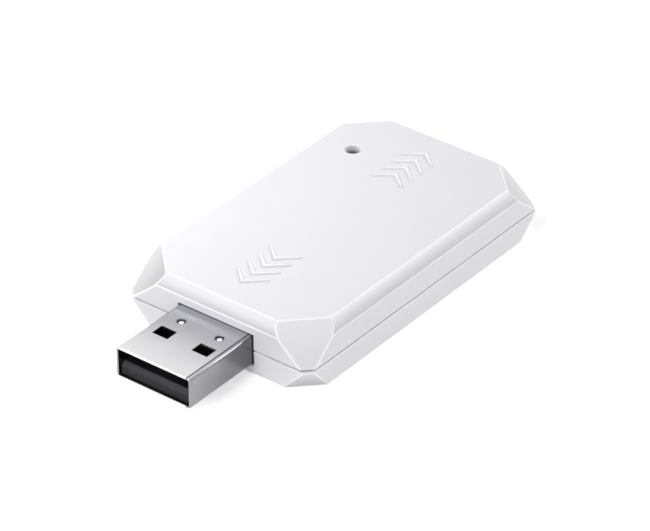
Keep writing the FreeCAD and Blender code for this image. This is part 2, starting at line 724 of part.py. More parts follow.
def plug_shell():
    """The plug's folded steel shell, with windows, dimples, a folded seam and two ears."""
    body = new_body("plug_shell")
    tube = new_sketch(body, "tube", "XZ_Plane", "0 - places.mouth")
    rounded_rectangle(tube, "(sizes.plug_width / 2)", "places.plug_bottom", "places.plug_top",
                      "sizes.plug_corner")
    rounded_rectangle(tube, "(sizes.plug_width / 2 - sizes.plug_sheet)",
                      "(places.plug_bottom + sizes.plug_sheet)",
                      "(places.plug_top - sizes.plug_sheet)",
                      "(sizes.plug_corner - sizes.plug_sheet)")
    extrude(body, "Pad", tube, "places.plug_length", reverse=True)

    windows = new_sketch(body, "windows", "XY_Plane", "sizes.seam_height")
    front = "(places.mouth + sizes.window_setback)"
    for sign in ("", "0 - "):
        draw_rectangle(windows, f"{sign}sizes.window_side", front,
                       f"{sign}(sizes.window_side + sizes.window_width)",
                       f"{front} + sizes.window_length")
    extrude(body, "Pocket", windows, f"sizes.plug_height + {OVERCUT}", both_ways=True)

    dimples = new_sketch(body, "dimples", "XY_Plane", "places.plug_top")
    draw_dimples(dimples, "sizes.dimple_diameter")
    extrude(body, "Pocket", dimples, "sizes.dimple_depth")
    bosses = new_sketch(body, "dimple_bosses", "XY_Plane", "places.plug_top - sizes.plug_sheet")
    draw_dimples(bosses, "sizes.dimple_diameter - sizes.plug_sheet")
    extrude(body, "Pad", bosses, "sizes.dimple_depth", reverse=True)

    fold = new_sketch(body, "folded_seam", "XY_Plane", "places.plug_bottom")
    draw_rectangle(fold, "0 - sizes.fold_width / 2", f"places.mouth - {OVERCUT}",
                   "sizes.fold_width / 2", f"places.plug_end + {OVERCUT}")
    extrude(body, "Pocket", fold, "sizes.fold_depth", reverse=True)

    ears = new_sketch(body, "solder_ears", "XY_Plane", "places.board_top")
    rear = "(places.plug_end - sizes.ear_setback)"
    for sign in ("", "0 - "):
        draw_rectangle(ears, f"{sign}(sizes.plug_width / 2 - sizes.plug_sheet / 2)",
                       f"{rear} - sizes.ear_length",
                       f"{sign}(sizes.plug_width / 2 + sizes.ear_reach)", rear)
    extrude(body, "Pad", ears, "sizes.plug_sheet")


def draw_dimples(sketch, diameter):
    """Draws the two circles where the shell is pressed into the insulator."""
    for side in ("sizes.dimple_side", "0 - sizes.dimple_side"):
        draw_circle(sketch, side, "places.mouth + sizes.dimple_setback", diameter)


def plug_insulator():
    """The plug's dark tongue and the block behind it, grooved for the contacts."""
    body = new_body("plug_insulator")
    side_view = new_sketch(body, "side_view", "YZ_Plane")
    tongue = "(places.mouth + sizes.tongue_setback)"
    draw_outline(side_view, [
        (tongue, "places.insulator_bottom"), ("places.plug_end", "places.insulator_bottom"),
        ("places.plug_end", "places.insulator_top"), ("places.block_face", "places.insulator_top"),
        ("places.block_face", "places.tongue_top"),
        (f"{tongue} + sizes.tongue_chamfer", "places.tongue_top"),
        (tongue, "places.tongue_top - sizes.tongue_chamfer")])
    extrude(body, "Pad", side_view, "2 * places.insulator_side", both_ways=True)
    side = worked_out("places.insulator_side")
    ends = [worked_out("places.insulator_bottom"), worked_out("places.insulator_top")]
    round_edges(body, "long_rounds", "sizes.insulator_corner", lambda edge: any(
        level(edge, height) and abs(abs(edge.CenterOfMass.x) - side) < NEAR for height in ends))

    for name, side, setback in (
            ("supply_grooves", "sizes.supply_contact_side", "sizes.supply_contact_setback"),
            ("data_grooves", "sizes.data_contact_side", "sizes.data_contact_setback")):
        grooves = new_sketch(body, name, "XZ_Plane", f"0 - places.plug_end - {OVERCUT}")
        half = "(sizes.contact_width / 2 + sizes.contact_clearance)"
        for sign in ("", "0 - "):
            draw_rectangle(grooves, f"{sign}{side} - {half}", "places.board_top",
                           f"{sign}{side} + {half}", "sizes.seam_height + sizes.contact_clearance")
        extrude(body, "Pocket", grooves, f"places.plug_length + {OVERCUT} - {setback}",
                reverse=True)
    sockets = new_sketch(body, "dimple_sockets", "XY_Plane", "places.insulator_top")
    draw_dimples(sockets, "sizes.dimple_diameter - sizes.plug_sheet + 2 * sizes.insulator_clearance")
    extrude(body, "Pocket", sockets, "sizes.dimple_depth")


def plug_contact(label, side, setback):
    """One plug contact: a flat blade whose tail lies on the main board."""
    body = new_body(label)
    blade = new_sketch(body, "blade", "YZ_Plane")
    front = f"(places.mouth + {setback})"
    low, high, cut = "places.board_top", "sizes.seam_height", "sizes.contact_chamfer"
    draw_outline(blade, [
        (front, low), ("places.tail_end", low), ("places.tail_end", high),
        (f"{front} + {cut}", high), (front, f"{high} - {cut}")])
    extrude(body, "Pad", blade, "sizes.contact_width", both_ways=True)
    bind(body, "Placement.Base.x", side)


def main_board():
    """The main board, cut to the housing's corners, notched for the plug, with four holes."""
    body = new_body("main_board")
    outline = new_sketch(body, "outline", "XY_Plane", "places.board_bottom")
    side, end = "places.board_side", "places.board_end"
    across, along = f"(places.board_sum - {end})", f"(places.board_sum - {side})"
    notch = "(sizes.plug_width / 2 + sizes.notch_clearance)"
    notch_end = "places.plug_end + sizes.notch_clearance"
    draw_outline(outline, [
        (notch, f"0 - {end}"), (across, f"0 - {end}"), (side, f"0 - {along}"), (side, along),
        (across, end), (f"0 - {across}", end), (f"0 - {side}", along),
        (f"0 - {side}", f"0 - {along}"), (f"0 - {across}", f"0 - {end}"),
        (f"0 - {notch}", f"0 - {end}"), (f"0 - {notch}", notch_end), (notch, notch_end)])
    extrude(body, "Pad", outline, "sizes.board_thickness")
    holes = new_sketch(body, "pin_holes", "XY_Plane", "places.board_top")
    post_circles(holes, PINNED_POSTS, "sizes.pin_diameter + 2 * sizes.pin_clearance")
    extrude(body, "Pocket", holes, "sizes.board_thickness")


def radio_module_board():
    """The radio module's own small board, with square solder notches on its long sides."""
    body = new_body("radio_module_board")
    outline = new_sketch(body, "outline", "XY_Plane", "places.board_top")
    draw_rectangle(outline, "places.module_left", "places.module_front", "places.module_right",
                   "places.module_rear")
    extrude(body, "Pad", outline, "sizes.module_thickness")
    notch = new_sketch(body, "solder_notch", "XY_Plane", "places.module_top")
    half = "sizes.solder_notch / 2"
    first = "(places.module_front + sizes.solder_notch_first)"
    for side in ("places.module_left", "places.module_right"):
        draw_rectangle(notch, f"{side} - {half}", f"{first} - {half}", f"{side} + {half}",
                       f"{first} + {half}")
    pocket = extrude(body, "Pocket", notch, "sizes.module_thickness")
    row = body.newObject("PartDesign::LinearPattern", "solder_notches")
    row.Originals = [pocket]
    row.Direction = (notch, ["V_Axis"])
    bind(row, "Length", f"sizes.solder_notch_pitch * {SOLDER_NOTCHES - 1}")
    row.Occurrences = SOLDER_NOTCHES
    body.Tip = row
    doc.recompute()


def shield_outline(sketch, inset):
    """Draws the radio can's outline, set in from its full size."""
    draw_rectangle(sketch, f"places.shield_left + {inset}", f"places.shield_front + {inset}",
                   f"places.shield_right - {inset}", f"places.shield_rear - {inset}")


def radio_shield_can():
    """The thin metal can over the radio's chips, open below."""
    body = new_body("radio_shield_can")
    outside = new_sketch(body, "outside", "XY_Plane", "places.module_top")
    shield_outline(outside, "0")
    extrude(body, "Pad", outside, "sizes.shield_rise")
    round_edges(body, "can_rounds", "sizes.shield_round",
                lambda edge: edge.BoundBox.ZLength > NEAR)
    inside = new_sketch(body, "inside", "XY_Plane", "places.module_top")
    shield_outline(inside, "sizes.shield_sheet")
    extrude(body, "Pocket", inside, "sizes.shield_rise - sizes.shield_sheet", reverse=True)


def radio_antenna_trace():
    """The radio's printed antenna: a flat strip that turns back and forth on the module."""
    body = new_body("radio_antenna_trace")
    near = "(places.shield_rear + sizes.trace_gap)"
    far = "(places.module_rear - sizes.trace_margin)"
    start = f"((places.module_left + places.module_right) / 2 - {TRACE_TURNS} * sizes.trace_step)"
    turn = new_sketch(body, "turn", "XY_Plane", "places.module_top")
    step = "sizes.trace_step"
    draw_outline(turn, [
        (f"{start}", near), (f"{start} + sizes.trace_width", near),
        (f"{start} + sizes.trace_width", f"{far} - sizes.trace_width"),
        (f"{start} + {step}", f"{far} - sizes.trace_width"),
        (f"{start} + {step}", near), (f"{start} + 2 * {step}", near),
        (f"{start} + 2 * {step}", f"{near} + sizes.trace_width"),
        (f"{start} + {step} + sizes.trace_width", f"{near} + sizes.trace_width"),
        (f"{start} + {step} + sizes.trace_width", far), (f"{start}", far)])
    pad = extrude(body, "Pad", turn, "sizes.trace_thickness")
    row = body.newObject("PartDesign::LinearPattern", "turns")
    row.Originals = [pad]
    row.Direction = (turn, ["H_Axis"])
    bind(row, "Length", f"2 * {step} * {TRACE_TURNS - 1}")
    row.Occurrences = TRACE_TURNS
    body.Tip = row
    doc.recompute()


def add_box(name, x, y, z, length, width, rise):
    """A box whose underside is centred on x and y at height z, all given as formulas."""
    box = doc.addObject("Part::Box", name)
    bind(box, "Length", length)
    bind(box, "Width", width)
    bind(box, "Height", rise)
    bind(box, "Placement.Base.x", f"({x}) - ({length}) / 2")
    bind(box, "Placement.Base.y", f"({y}) - ({width}) / 2")
    bind(box, "Placement.Base.z", z)
    return box


def fuse_parts(label, pieces):
    """One sub-part made of overlapping pieces."""
    fused = doc.addObject("Part::MultiFuse", label)
    fused.Shapes = pieces
    fused.Label = label
    subparts.append(fused)


def two_terminal(label, x, y, z, size, upright=False):
    """A two-terminal chip part: a body between two end caps that stand a little proud."""
    length, width, rise = (f"sizes.{size}_{name}" for name in ("length", "width", "rise"))
    proud = "2 * sizes.cap_proud"
    cap = f"sizes.cap_share * {length}"
    reach = f"(({length}) - ({cap})) / 2"
    pieces = []
    for name, shift, own, side, tall in (
            ("body", "0", f"{length} - {cap}", f"{width} - {proud}", f"{rise} - sizes.cap_proud"),
            ("cap_low", f"0 - {reach}", cap, width, rise), ("cap_high", reach, cap, width, rise)):
        if upright:
            piece = add_box(f"{label}_{name}", x, f"({y}) + {shift}", z, side, own, tall)
        else:
            piece = add_box(f"{label}_{name}", f"({x}) + {shift}", y, z, own, side, tall)
        pieces.append(piece)
    fuse_parts(label, pieces)


def leaded_chip(label, x, y, z, low_leads, high_leads):
    """A moulded chip with rows of leads along its two long sides."""
    length, width, rise = (f"sizes.{label}_{name}" for name in ("length", "width", "rise"))
    pieces = [add_box(f"{label}_body", x, y, z, length, width, rise)]
    for sign, leads in (("0 - ", low_leads), ("", high_leads)):
        for number, (across, wide) in enumerate(leads):
            pieces.append(add_box(
                f"{label}_lead_{'high' if sign == '' else 'low'}_{number}", f"{x} + {across}",
                f"({y}) + {sign}(({width}) / 2 + sizes.lead_reach / 2 - sizes.lead_root / 2)", z,
                wide, "sizes.lead_reach + sizes.lead_root", "sizes.lead_thickness"))
    fuse_parts(label, pieces)


def lead_row(count, pitch, wide):
    """The offsets and widths of a row of leads about a chip's middle."""
    return [(f"({number - (count - 1) / 2}) * {pitch}", wide) for number in range(count)]


def lidded_part(label, x, y, z):
    """A small part whose lid or lens is narrower than its base."""
    length, width, rise, lid = (f"sizes.{label}_{name}"
                                for name in ("length", "width", "rise", "lid"))
    inset = "2 * sizes.lid_inset"
    base = add_box(f"{label}_base", x, y, z, length, width, f"{rise} - {lid}")
    top = add_box(f"{label}_lid", x, y, z, f"{length} - {inset}", f"{width} - {inset}", rise)
    fuse_parts(label, [base, top])


def marked_chip(label, x, y, z):
    """A flat chip with a round dimple at its first corner."""
    length, width, rise = (f"sizes.{label}_{name}" for name in ("length", "width", "rise"))
    block = add_box(f"{label}_block", x, y, z, length, width, rise)
    dot = doc.addObject("Part::Cylinder", f"{label}_dot")
    bind(dot, "Radius", "sizes.chip_dot / 2")
    bind(dot, "Height", "2 * sizes.chip_dot_depth")
    bind(dot, "Placement.Base.x", f"{x} - {length} / 2 + sizes.chip_dot")
    bind(dot, "Placement.Base.y", f"{y} - {width} / 2 + sizes.chip_dot")
    bind(dot, "Placement.Base.z", f"{z} + {rise} - sizes.chip_dot_depth")
    chip = doc.addObject("Part::Cut", label)
    chip.Base = block
    chip.Tool = dot
    chip.Label = label
    subparts.append(chip)


def behind_plug(size):
    """The station of a part that keeps its distance from the contacts' tails."""
    return f"places.tail_end + sizes.{size}_along"


def chip_row(label, station):
    """Four small chip parts side by side, centred on the interface chip."""
    for number in range(CHIPS_IN_ROW):
        across = f"places.interface_x + ({number - (CHIPS_IN_ROW - 1) / 2}) * sizes.chip_row_pitch"
        two_terminal(f"{label}_{number + 1}", across, station, "places.board_top", "small_chip",
                     upright=True)


def board_parts():
    """The parts soldered on the main board."""
    z = "places.board_top"
    lidded_part("status_led", "places.lamp_x", "places.lamp_y", z)
    two_terminal("led_resistor", "places.lamp_x", "places.lamp_y - sizes.led_resistor_step", z,
                 "small_chip")
    two_terminal("bulk_capacitor", "places.lamp_x",
                 "places.module_front + sizes.bulk_capacitor_step", z, "bulk_capacitor",
                 upright=True)
    broad = lead_row(3, "sizes.broad_pitch", "sizes.broad_lead")
    leaded_chip("esd_diode", "0", behind_plug("esd_diode"), z, broad, broad)
    for label, across in (
            ("resettable_fuse", "sizes.resettable_fuse_across"),
            ("regulator_input_capacitor", "sizes.regulator_input_capacitor_across"),
            ("ferrite_bead", "places.board_side - sizes.ferrite_bead_setback")):
        two_terminal(label, across, behind_plug(label), z, label)
    regulator_y = behind_plug("voltage_regulator")
    leaded_chip("voltage_regulator", "places.regulator_x", regulator_y, z,
                lead_row(3, "sizes.regulator_pitch", "sizes.regulator_lead"),
                [("0", "sizes.regulator_tab")])
    two_terminal("regulator_output_capacitor",
                 "places.regulator_x - sizes.regulator_output_capacitor_step", regulator_y, z,
                 "regulator_output_capacitor", upright=True)
    chip_y = behind_plug("interface_chip")
    fine = lead_row(8, "sizes.fine_pitch", "sizes.fine_lead")
    leaded_chip("interface_chip", "places.interface_x", chip_y, z, fine, fine)
    lidded_part("interface_crystal", "places.crystal_x", chip_y, z)
    for side, number in (("0 - ", 1), ("", 2)):
        two_terminal(f"crystal_load_capacitor_{number}", "places.crystal_x",
                     f"{chip_y} + {side}sizes.crystal_load_step", z, "small_chip")
    chip_row("chip_resistor", behind_plug("resistor_row"))
    chip_row("chip_capacitor", behind_plug("capacitor_row"))


def module_parts():
    """The parts soldered on the radio module, under its can."""
    z = "places.module_top"
    row = "places.shield_station + sizes.radio_row_along"
    marked_chip("radio_chip", "places.radio_chip_x", row, z)
    marked_chip("radio_flash_chip", "places.radio_flash_x", row, z)
    lidded_part("radio_crystal", "places.radio_crystal_x", row, z)
    for side, number in (("0 - ", 1), ("", 2)):
        two_terminal(f"radio_capacitor_{number}", "places.radio_chip_x",
                     f"{row} + {side}sizes.radio_capacitor_step", z, "small_chip")


def check_document():
    """Stops if any object failed or any sub-part is empty or not valid."""
    failed = [item.Name for item in doc.Objects
              if "Invalid" in item.State or "Error" in item.State]
    failed += [part.Label for part in subparts
               if part.Shape.isNull() or not part.Shape.isValid() or not part.Shape.Solids]
    if failed:
        raise ValueError(f"failed: {', '.join(failed)}")


top_cover()
bottom_cover()
plug_shell()
plug_insulator()
plug_contact("plug_contact_power", "sizes.supply_contact_side", "sizes.supply_contact_setback")
plug_contact("plug_contact_data_minus", "sizes.data_contact_side", "sizes.data_contact_setback")
plug_contact("plug_contact_data_plus", "0 - sizes.data_contact_side", "sizes.data_contact_setback")
plug_contact("plug_contact_ground", "0 - sizes.supply_contact_side", "sizes.supply_contact_setback")
main_board()
board_parts()
radio_module_board()
module_parts()
radio_shield_can()
radio_antenna_trace()
doc.recompute()
check_document()

os.makedirs("parts", exist_ok=True)
for part in subparts:
    part.Shape.exportStep(f"parts/{part.Label}.step")
    box = part.Shape.BoundBox
    print(f"{part.Label}: {len(part.Shape.Solids)} solid, {part.Shape.Volume:.2f} mm3, "
          f"{box.XLength:.2f} x {box.YLength:.2f} x {box.ZLength:.2f}")
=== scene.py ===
"""Looks of the wireless network stick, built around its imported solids.

Shapes are made in millimetres and scaled to metres at the end, in the frame of the solids: the
origin is the middle of the flat underside, +Z is up and the plug points along -Y.
"""

import logging
import math
from contextlib import contextmanager
from dataclasses import dataclass, replace
from enum import Enum
from typing import Callable, Iterable, Iterator, Sequence

import bmesh
import bpy
from mathutils import Matrix, Quaternion, Vector


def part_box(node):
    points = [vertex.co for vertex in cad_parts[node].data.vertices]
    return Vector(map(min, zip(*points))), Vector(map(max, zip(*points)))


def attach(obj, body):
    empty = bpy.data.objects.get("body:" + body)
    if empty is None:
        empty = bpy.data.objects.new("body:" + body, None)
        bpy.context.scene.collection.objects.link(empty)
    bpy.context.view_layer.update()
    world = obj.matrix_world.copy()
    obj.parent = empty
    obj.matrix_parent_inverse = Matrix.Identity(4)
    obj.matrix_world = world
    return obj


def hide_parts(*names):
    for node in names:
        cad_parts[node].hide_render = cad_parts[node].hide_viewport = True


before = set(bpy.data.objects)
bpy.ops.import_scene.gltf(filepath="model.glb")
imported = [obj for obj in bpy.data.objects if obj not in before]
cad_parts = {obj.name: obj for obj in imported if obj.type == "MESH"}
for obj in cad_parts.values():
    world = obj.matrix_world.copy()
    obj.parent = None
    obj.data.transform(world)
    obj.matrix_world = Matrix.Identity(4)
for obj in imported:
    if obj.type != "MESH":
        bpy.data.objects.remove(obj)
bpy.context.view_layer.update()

MM = 0.001
BODY = "root"
LOG = logging.getLogger("network_stick")

Colour = tuple[float, float, float]
Point = tuple[float, float, float]
Pair = tuple[float, float]
Edge = bmesh.types.BMEdge
Node = bpy.types.Node
Socket = bpy.types.NodeSocket

X, Y, Z = (1.0, 0.0, 0.0), (0.0, 1.0, 0.0), (0.0, 0.0, 1.0)

# How near two points or heights count as one, in millimetres
TINY = 1e-5
LEVEL = 1e-4

# How far masks in materials fade, in metres
SOFT = 2e-5
SHARP = 1e-5

# The part of a grain's height that its roughness is spread over
GRAIN_SPAN = (0.2, 0.8)


def toned(colour: Colour, share: float) -> Colour:
    """A colour made darker to a share of itself."""
    return tuple(part * share for part in colour)


# Mesh tools


class Join(Enum):
    """How a second form changes the first."""

    CUT = "DIFFERENCE"
    ADD = "UNION"


def picked(items: Iterable, kind: type) -> list:
    """Those of some mesh items that are of a kind."""
    return [item for item in items if isinstance(item, kind)]


class Form:
    """A closed form under construction, in millimetres."""

    def __init__(self) -> None:
        """Starts with an empty mesh."""
        self.bm = bmesh.new()

    @property
    def everything(self) -> list:
        """All of the form's points, edges and faces."""
        return [*self.bm.verts, *self.bm.edges, *self.bm.faces]

    @classmethod
    def block(cls, corner: Point, other: Point) -> "Form":
        """Makes a rectangular block.

        Args:
            corner: One of its corners.
            other: The opposite corner.

        Returns:
            The new form.
        """
        form = cls()
        low, high = (Vector([choose(pair) for pair in zip(corner, other)])
                     for choose in (min, max))
        bmesh.ops.create_cube(form.bm, size=1.0)
        bmesh.ops.scale(form.bm, vec=high - low, verts=form.bm.verts)
        bmesh.ops.translate(form.bm, vec=(high + low) / 2, verts=form.bm.verts)
        return form

    @classmethod
    def turned(cls, profile: Sequence[Pair], axis: Point, steps: int = 64) -> "Form":
        """Turns a profile about an upright axis.

        Args:
            profile: Pairs of radius and height, from the axis back to the axis.
            axis: A point on the axis; its height is added to the profile's.
            steps: How many steps the full turn has.

        Returns:
            The new form.
        """
        form = cls()
        points = [form.bm.verts.new((axis[0] + radius, axis[1], axis[2] + height))
                  for radius, height in profile]
        edges = [form.bm.edges.new(pair) for pair in zip(points, points[1:])]
        bmesh.ops.spin(form.bm, geom=points + edges, cent=axis, axis=Z, angle=math.tau,
                       steps=steps, use_merge=True)
        form.merge()
        form.face_out()
        return form

    @classmethod
    def post(cls, place: Pair, radius: float, low: float, high: float) -> "Form":
        """Makes an upright round post at a place in plan, from its foot to its top."""
        return cls.turned([(0, low), (radius, low), (radius, high), (0, high)], (*place, 0.0),
                          steps=48)

    def merge(self, reach: float = TINY) -> None:
        """Merges points that lie almost on each other."""
        bmesh.ops.remove_doubles(self.bm, verts=self.bm.verts, dist=reach)

    def drop_slivers(self, reach: float) -> None:
        """Dissolves edges and faces that have almost no size."""
        bmesh.ops.dissolve_degenerate(self.bm, dist=reach, edges=self.bm.edges)

    def face_out(self) -> None:
        """Turns all faces outwards."""
        bmesh.ops.recalc_face_normals(self.bm, faces=self.bm.faces)

    def trim(self, point: Point, outward: Point, edge: bool = False) -> None:
        """Cuts off all that lies outside a plane and closes the cut.

        Args:
            point: A point of the plane.
            outward: The plane's normal, towards what goes.
            edge: Whether the new face is part of a rounded edge.
        """
        cut = bmesh.ops.bisect_plane(self.bm, geom=self.everything, dist=1e-6, plane_co=point,
                                     plane_no=outward, clear_outer=True)["geom_cut"]
        edges = picked(cut, Edge)
        if edges:
            # Rounded-edge faces take the second material, which on the covers is a painted
            # highlight
            for face in bmesh.ops.edgeloop_fill(self.bm, edges=edges)["faces"]:
                face.material_index = int(edge)

    def trim_corners(self, total: float, height: float, lean: float) -> None:
        """Cuts the corners where |x| + |y| is the total, less lean for each mm above a height."""
        for x, y in ((1, 1), (1, -1), (-1, 1), (-1, -1)):
            self.trim((x * total / 2, y * total / 2, height), (x, y, lean))

    def bevel(self, chosen: Callable[[Edge], bool], width: float, segments: int = 3) -> None:
        """Rounds the edges that pass a test.

        Args:
            chosen: The test.
            width: The width of the round.
            segments: How many strips it has.
        """
        edges = [edge for edge in self.bm.edges if chosen(edge)]
        bmesh.ops.bevel(self.bm, geom=edges, offset=width, offset_type="OFFSET",
                        segments=segments, profile=0.5, affect="EDGES", material=-1,
                        clamp_overlap=True)

    def round_creases(self, radius_at: Callable[[Edge], float], strips: int = 3) -> None:
        """Rounds a convex form's creases by planes that touch a small cylinder along each.

        Args:
            radius_at: Gives a crease's radius, 0 to leave it as it is.
            strips: How many planes go round each crease.
        """
        creases = []
        for edge in self.bm.edges:
            radius = radius_at(edge)
            if radius:
                first, second = (face.normal.copy() for face in edge.link_faces)
                middle = (edge.verts[0].co + edge.verts[1].co) / 2
                reach = radius / (1 + first.dot(second))
                creases.append((middle - (first + second) * reach, first, second, radius))
        for centre, first, second, radius in creases:
            for number in range(strips):
                outward = first.slerp(second, (number + 1) / (strips + 1))
                self.trim(centre + outward * radius, outward, edge=True)

    def to_object(self, name: str) -> bpy.types.Object:
        """Turns the form into an object that is still in millimetres.

        Args:
            name: The object's name.

        Returns:
            The object.
        """
        mesh = bpy.data.meshes.new(name)
        for _ in range(2):
            mesh.materials.append(None)
        self.bm.to_mesh(mesh)
        self.bm.free()
        piece = bpy.data.objects.new(name, mesh)
        bpy.context.scene.collection.objects.link(piece)
        return piece


def settle(piece: bpy.types.Object) -> None:
    """Turns a piece's modifiers into its own mesh.

    Args:
        piece: The piece.
    """
    bpy.context.view_layer.update()
    graph = bpy.context.evaluated_depsgraph_get()
    mesh = bpy.data.meshes.new_from_object(piece.evaluated_get(graph))
    old = piece.data
    piece.modifiers.clear()
    piece.data = mesh
    bpy.data.meshes.remove(old)


def combine(piece: bpy.types.Object, tool: Form, join: Join) -> None:
    """Cuts a form out of a piece or adds it.

    Args:
        piece: The piece that changes.
        tool: The form, which is used up.
        join: Whether it is cut out or added.
    """
    other = tool.to_object("tool")
    change = piece.modifiers.new(join.name.lower(), "BOOLEAN")
    change.operation = join.value
    change.solver = "EXACT"
    change.object = other
    settle(piece)
    bpy.data.meshes.remove(other.data)


@contextmanager
def reshaping(piece: bpy.types.Object) -> Iterator[Form]:
    """Gives a piece's mesh as a form and puts it back after the changes.

    Args:
        piece: The piece.

    Yields:
        The form.
    """
    form = Form()
    form.bm.from_mesh(piece.data)
    yield form
    form.bm.to_mesh(piece.data)
    form.bm.free()


def clean(piece: bpy.types.Object, reach: float = 0.003) -> None:
    """Merges points that lie almost on each other, closes gaps and turns all faces outwards.

    Args:
        piece: The piece, in millimetres.
        reach: How near two points merge.
    """
    with reshaping(piece) as form:
        form.merge(reach)
        form.drop_slivers(reach)
        gaps = [edge for edge in form.bm.edges if len(edge.link_faces) == 1]
        if gaps:
            bmesh.ops.holes_fill(form.bm, edges=gaps, sides=0)
        bare = [edge for edge in form.bm.edges if not edge.link_faces]
        bmesh.ops.delete(form.bm, geom=bare, context="EDGES")
        form.face_out()
        left = sum(len(edge.link_faces) != 2 for edge in form.bm.edges)
        LOG.info("%s: %d open or shared edges after cleaning", piece.name, left)


def steepness(edge: Edge) -> float:
    """The angle between an edge's two faces, in degrees."""
    return math.degrees(edge.calc_face_angle(0.0))


def level_at(edge: Edge, height: float) -> bool:
    """Whether both ends of an edge are at that height."""
    return all(abs(vert.co.z - height) < LEVEL for vert in edge.verts)


def runs_along(edge: Edge, direction: Point) -> bool:
    """Whether an edge goes on for more than a millimetre in that direction."""
    return abs((edge.verts[0].co - edge.verts[1].co).dot(Vector(direction))) > 1.0


def finish_piece(piece: bpy.types.Object, material: bpy.types.Material,
                 node: str, edges: bpy.types.Material | None, sharp: float = 35.0) -> None:
    """Scales a piece to metres, smooths its shading, dresses it and sets it on its body.

    Args:
        piece: The piece, still in millimetres.
        material: Its material.
        node: The node that it stands for.
        edges: The lighter material of its rounded edges, a painted highlight, where they differ.
        sharp: The angle from which an edge stays sharp, in degrees.
    """
    clean(piece)
    mesh = piece.data
    mesh.transform(Matrix.Scale(MM, 4))
    mesh.polygons.foreach_set("use_smooth", [True] * len(mesh.polygons))
    mesh.set_sharp_from_angle(angle=math.radians(sharp))
    weighted = piece.modifiers.new("even_shading", "WEIGHTED_NORMAL")
    weighted.weight = 100
    weighted.keep_sharp = True
    mesh.materials[0] = material
    if edges is None:
        mesh.materials.pop(index=1)
    else:
        mesh.materials[1] = edges
    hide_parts(node)
    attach(piece, BODY)
    LOG.info("%s: %d faces", piece.name, len(mesh.polygons))


# Shader tools


class Wiring:
    """A node tree with short calls for its nodes and links."""

    def __init__(self, tree: bpy.types.NodeTree) -> None:
        """Takes the tree that the nodes go into."""
        self.tree = tree

    def put(self, node: Node, name: str | int, value: object) -> None:
        """Links a socket to a node's input, or sets the input.

        Args:
            node: The node.
            name: The input's name or number.
            value: The socket, number, vector or colour.
        """
        target = node.inputs[name]
        if isinstance(value, Socket):
            self.tree.links.new(value, target)
        else:
            target.default_value = (*value, 1.0) if target.type == "RGBA" else value

    def add(self, kind: str, **settings: object) -> Node:
        """Adds a node.

        Args:
            kind: Its type, without the ShaderNode at its front.
            settings: Its properties, or what goes into its inputs, by name.

        Returns:
            The node.
        """
        node = self.tree.nodes.new(f"ShaderNode{kind}")
        for name, value in settings.items():
            if hasattr(node, name):
                setattr(node, name, value)
            else:
                self.put(node, name.replace("_", " "), value)
        return node

    def parts(self, position: Socket) -> tuple[Socket, Socket, Socket]:
        """The three parts of a position."""
        return tuple(self.add("SeparateXYZ", Vector=position).outputs)

    def calc(self, operation: str, first: object, second: object = 0.0) -> Socket:
        """Adds a Math node.

        Args:
            operation: Its operation.
            first: Its first socket or number.
            second: Its second socket or number.

        Returns:
            Its output.
        """
        node = self.add("Math", operation=operation)
        self.put(node, 0, first)
        self.put(node, 1, second)
        return node.outputs[0]

    def plus(self, first: object, second: object) -> Socket:
        """The sum of two sockets or numbers."""
        return self.calc("ADD", first, second)

    def minus(self, first: object, second: object) -> Socket:
        """The difference of two sockets or numbers."""
        return self.calc("SUBTRACT", first, second)

    def times(self, first: object, second: object) -> Socket:
        """The product of two sockets or numbers."""
        return self.calc("MULTIPLY", first, second)

    def most(self, first: object, second: object) -> Socket:
        """The larger of two sockets or numbers."""
        return self.calc("MAXIMUM", first, second)

    def rest(self, share: Socket) -> Socket:
        """What a share leaves of 1."""
        return self.minus(1.0, share)

    def apart(self, value: Socket, centre: float = 0.0) -> Socket:
        """How far a value lies from a centre, on either side."""
        return self.calc("ABSOLUTE", self.minus(value, centre))

    def away(self, first: Socket, second: Socket) -> Socket:
        """The distance that two steps at a right angle make."""
        return self.calc("SQRT", self.plus(self.times(first, first), self.times(second, second)))

    def spread(self, source: Socket, low: float, high: float, to_low: float = 0.0,
               to_high: float = 1.0) -> Socket:
        """Stretches a value's span, from low to high, to another one with smooth ends."""
        return self.add("MapRange", interpolation_type="SMOOTHSTEP", Value=source, From_Min=low,
                        From_Max=high, To_Min=to_low, To_Max=to_high).outputs["Result"]

    def below(self, value: Socket, low: float, high: float) -> Socket:
        """A mask that falls from 1 at the low value to 0 at the high one."""
        return self.spread(value, low, high, 1.0, 0.0)

    def inside(self, value: Socket, centre: float, half: float, soft: float = SOFT) -> Socket:
        """A mask that is 1 up to half a span from its centre, and 0 past its soft ends."""
        return self.below(self.apart(value, centre), half - soft, half + soft)

    def blend(self, share: Socket, first: object, second: object) -> Socket:
        """Blends two colours that may themselves be linked.

        Args:
            share: 0 for the first colour, 1 for the second.
            first: A colour or a socket.
            second: A colour or a socket.

        Returns:
            The blend.
        """
        node = self.add("Mix", data_type="RGBA", Factor=share)
        places = [place for place, socket in enumerate(node.inputs) if socket.type == "RGBA"]
        for place, colour in zip(places, (first, second)):
            self.put(node, place, colour)
        return next(out for out in node.outputs if out.type == "RGBA")

    def seen(self) -> Socket:
        """Masks what the camera sees, by itself or in and through other pieces."""
        path = self.add("LightPath").outputs
        return self.most(path["Is Camera Ray"],
                         self.most(path["Is Glossy Ray"], path["Is Transmission Ray"]))


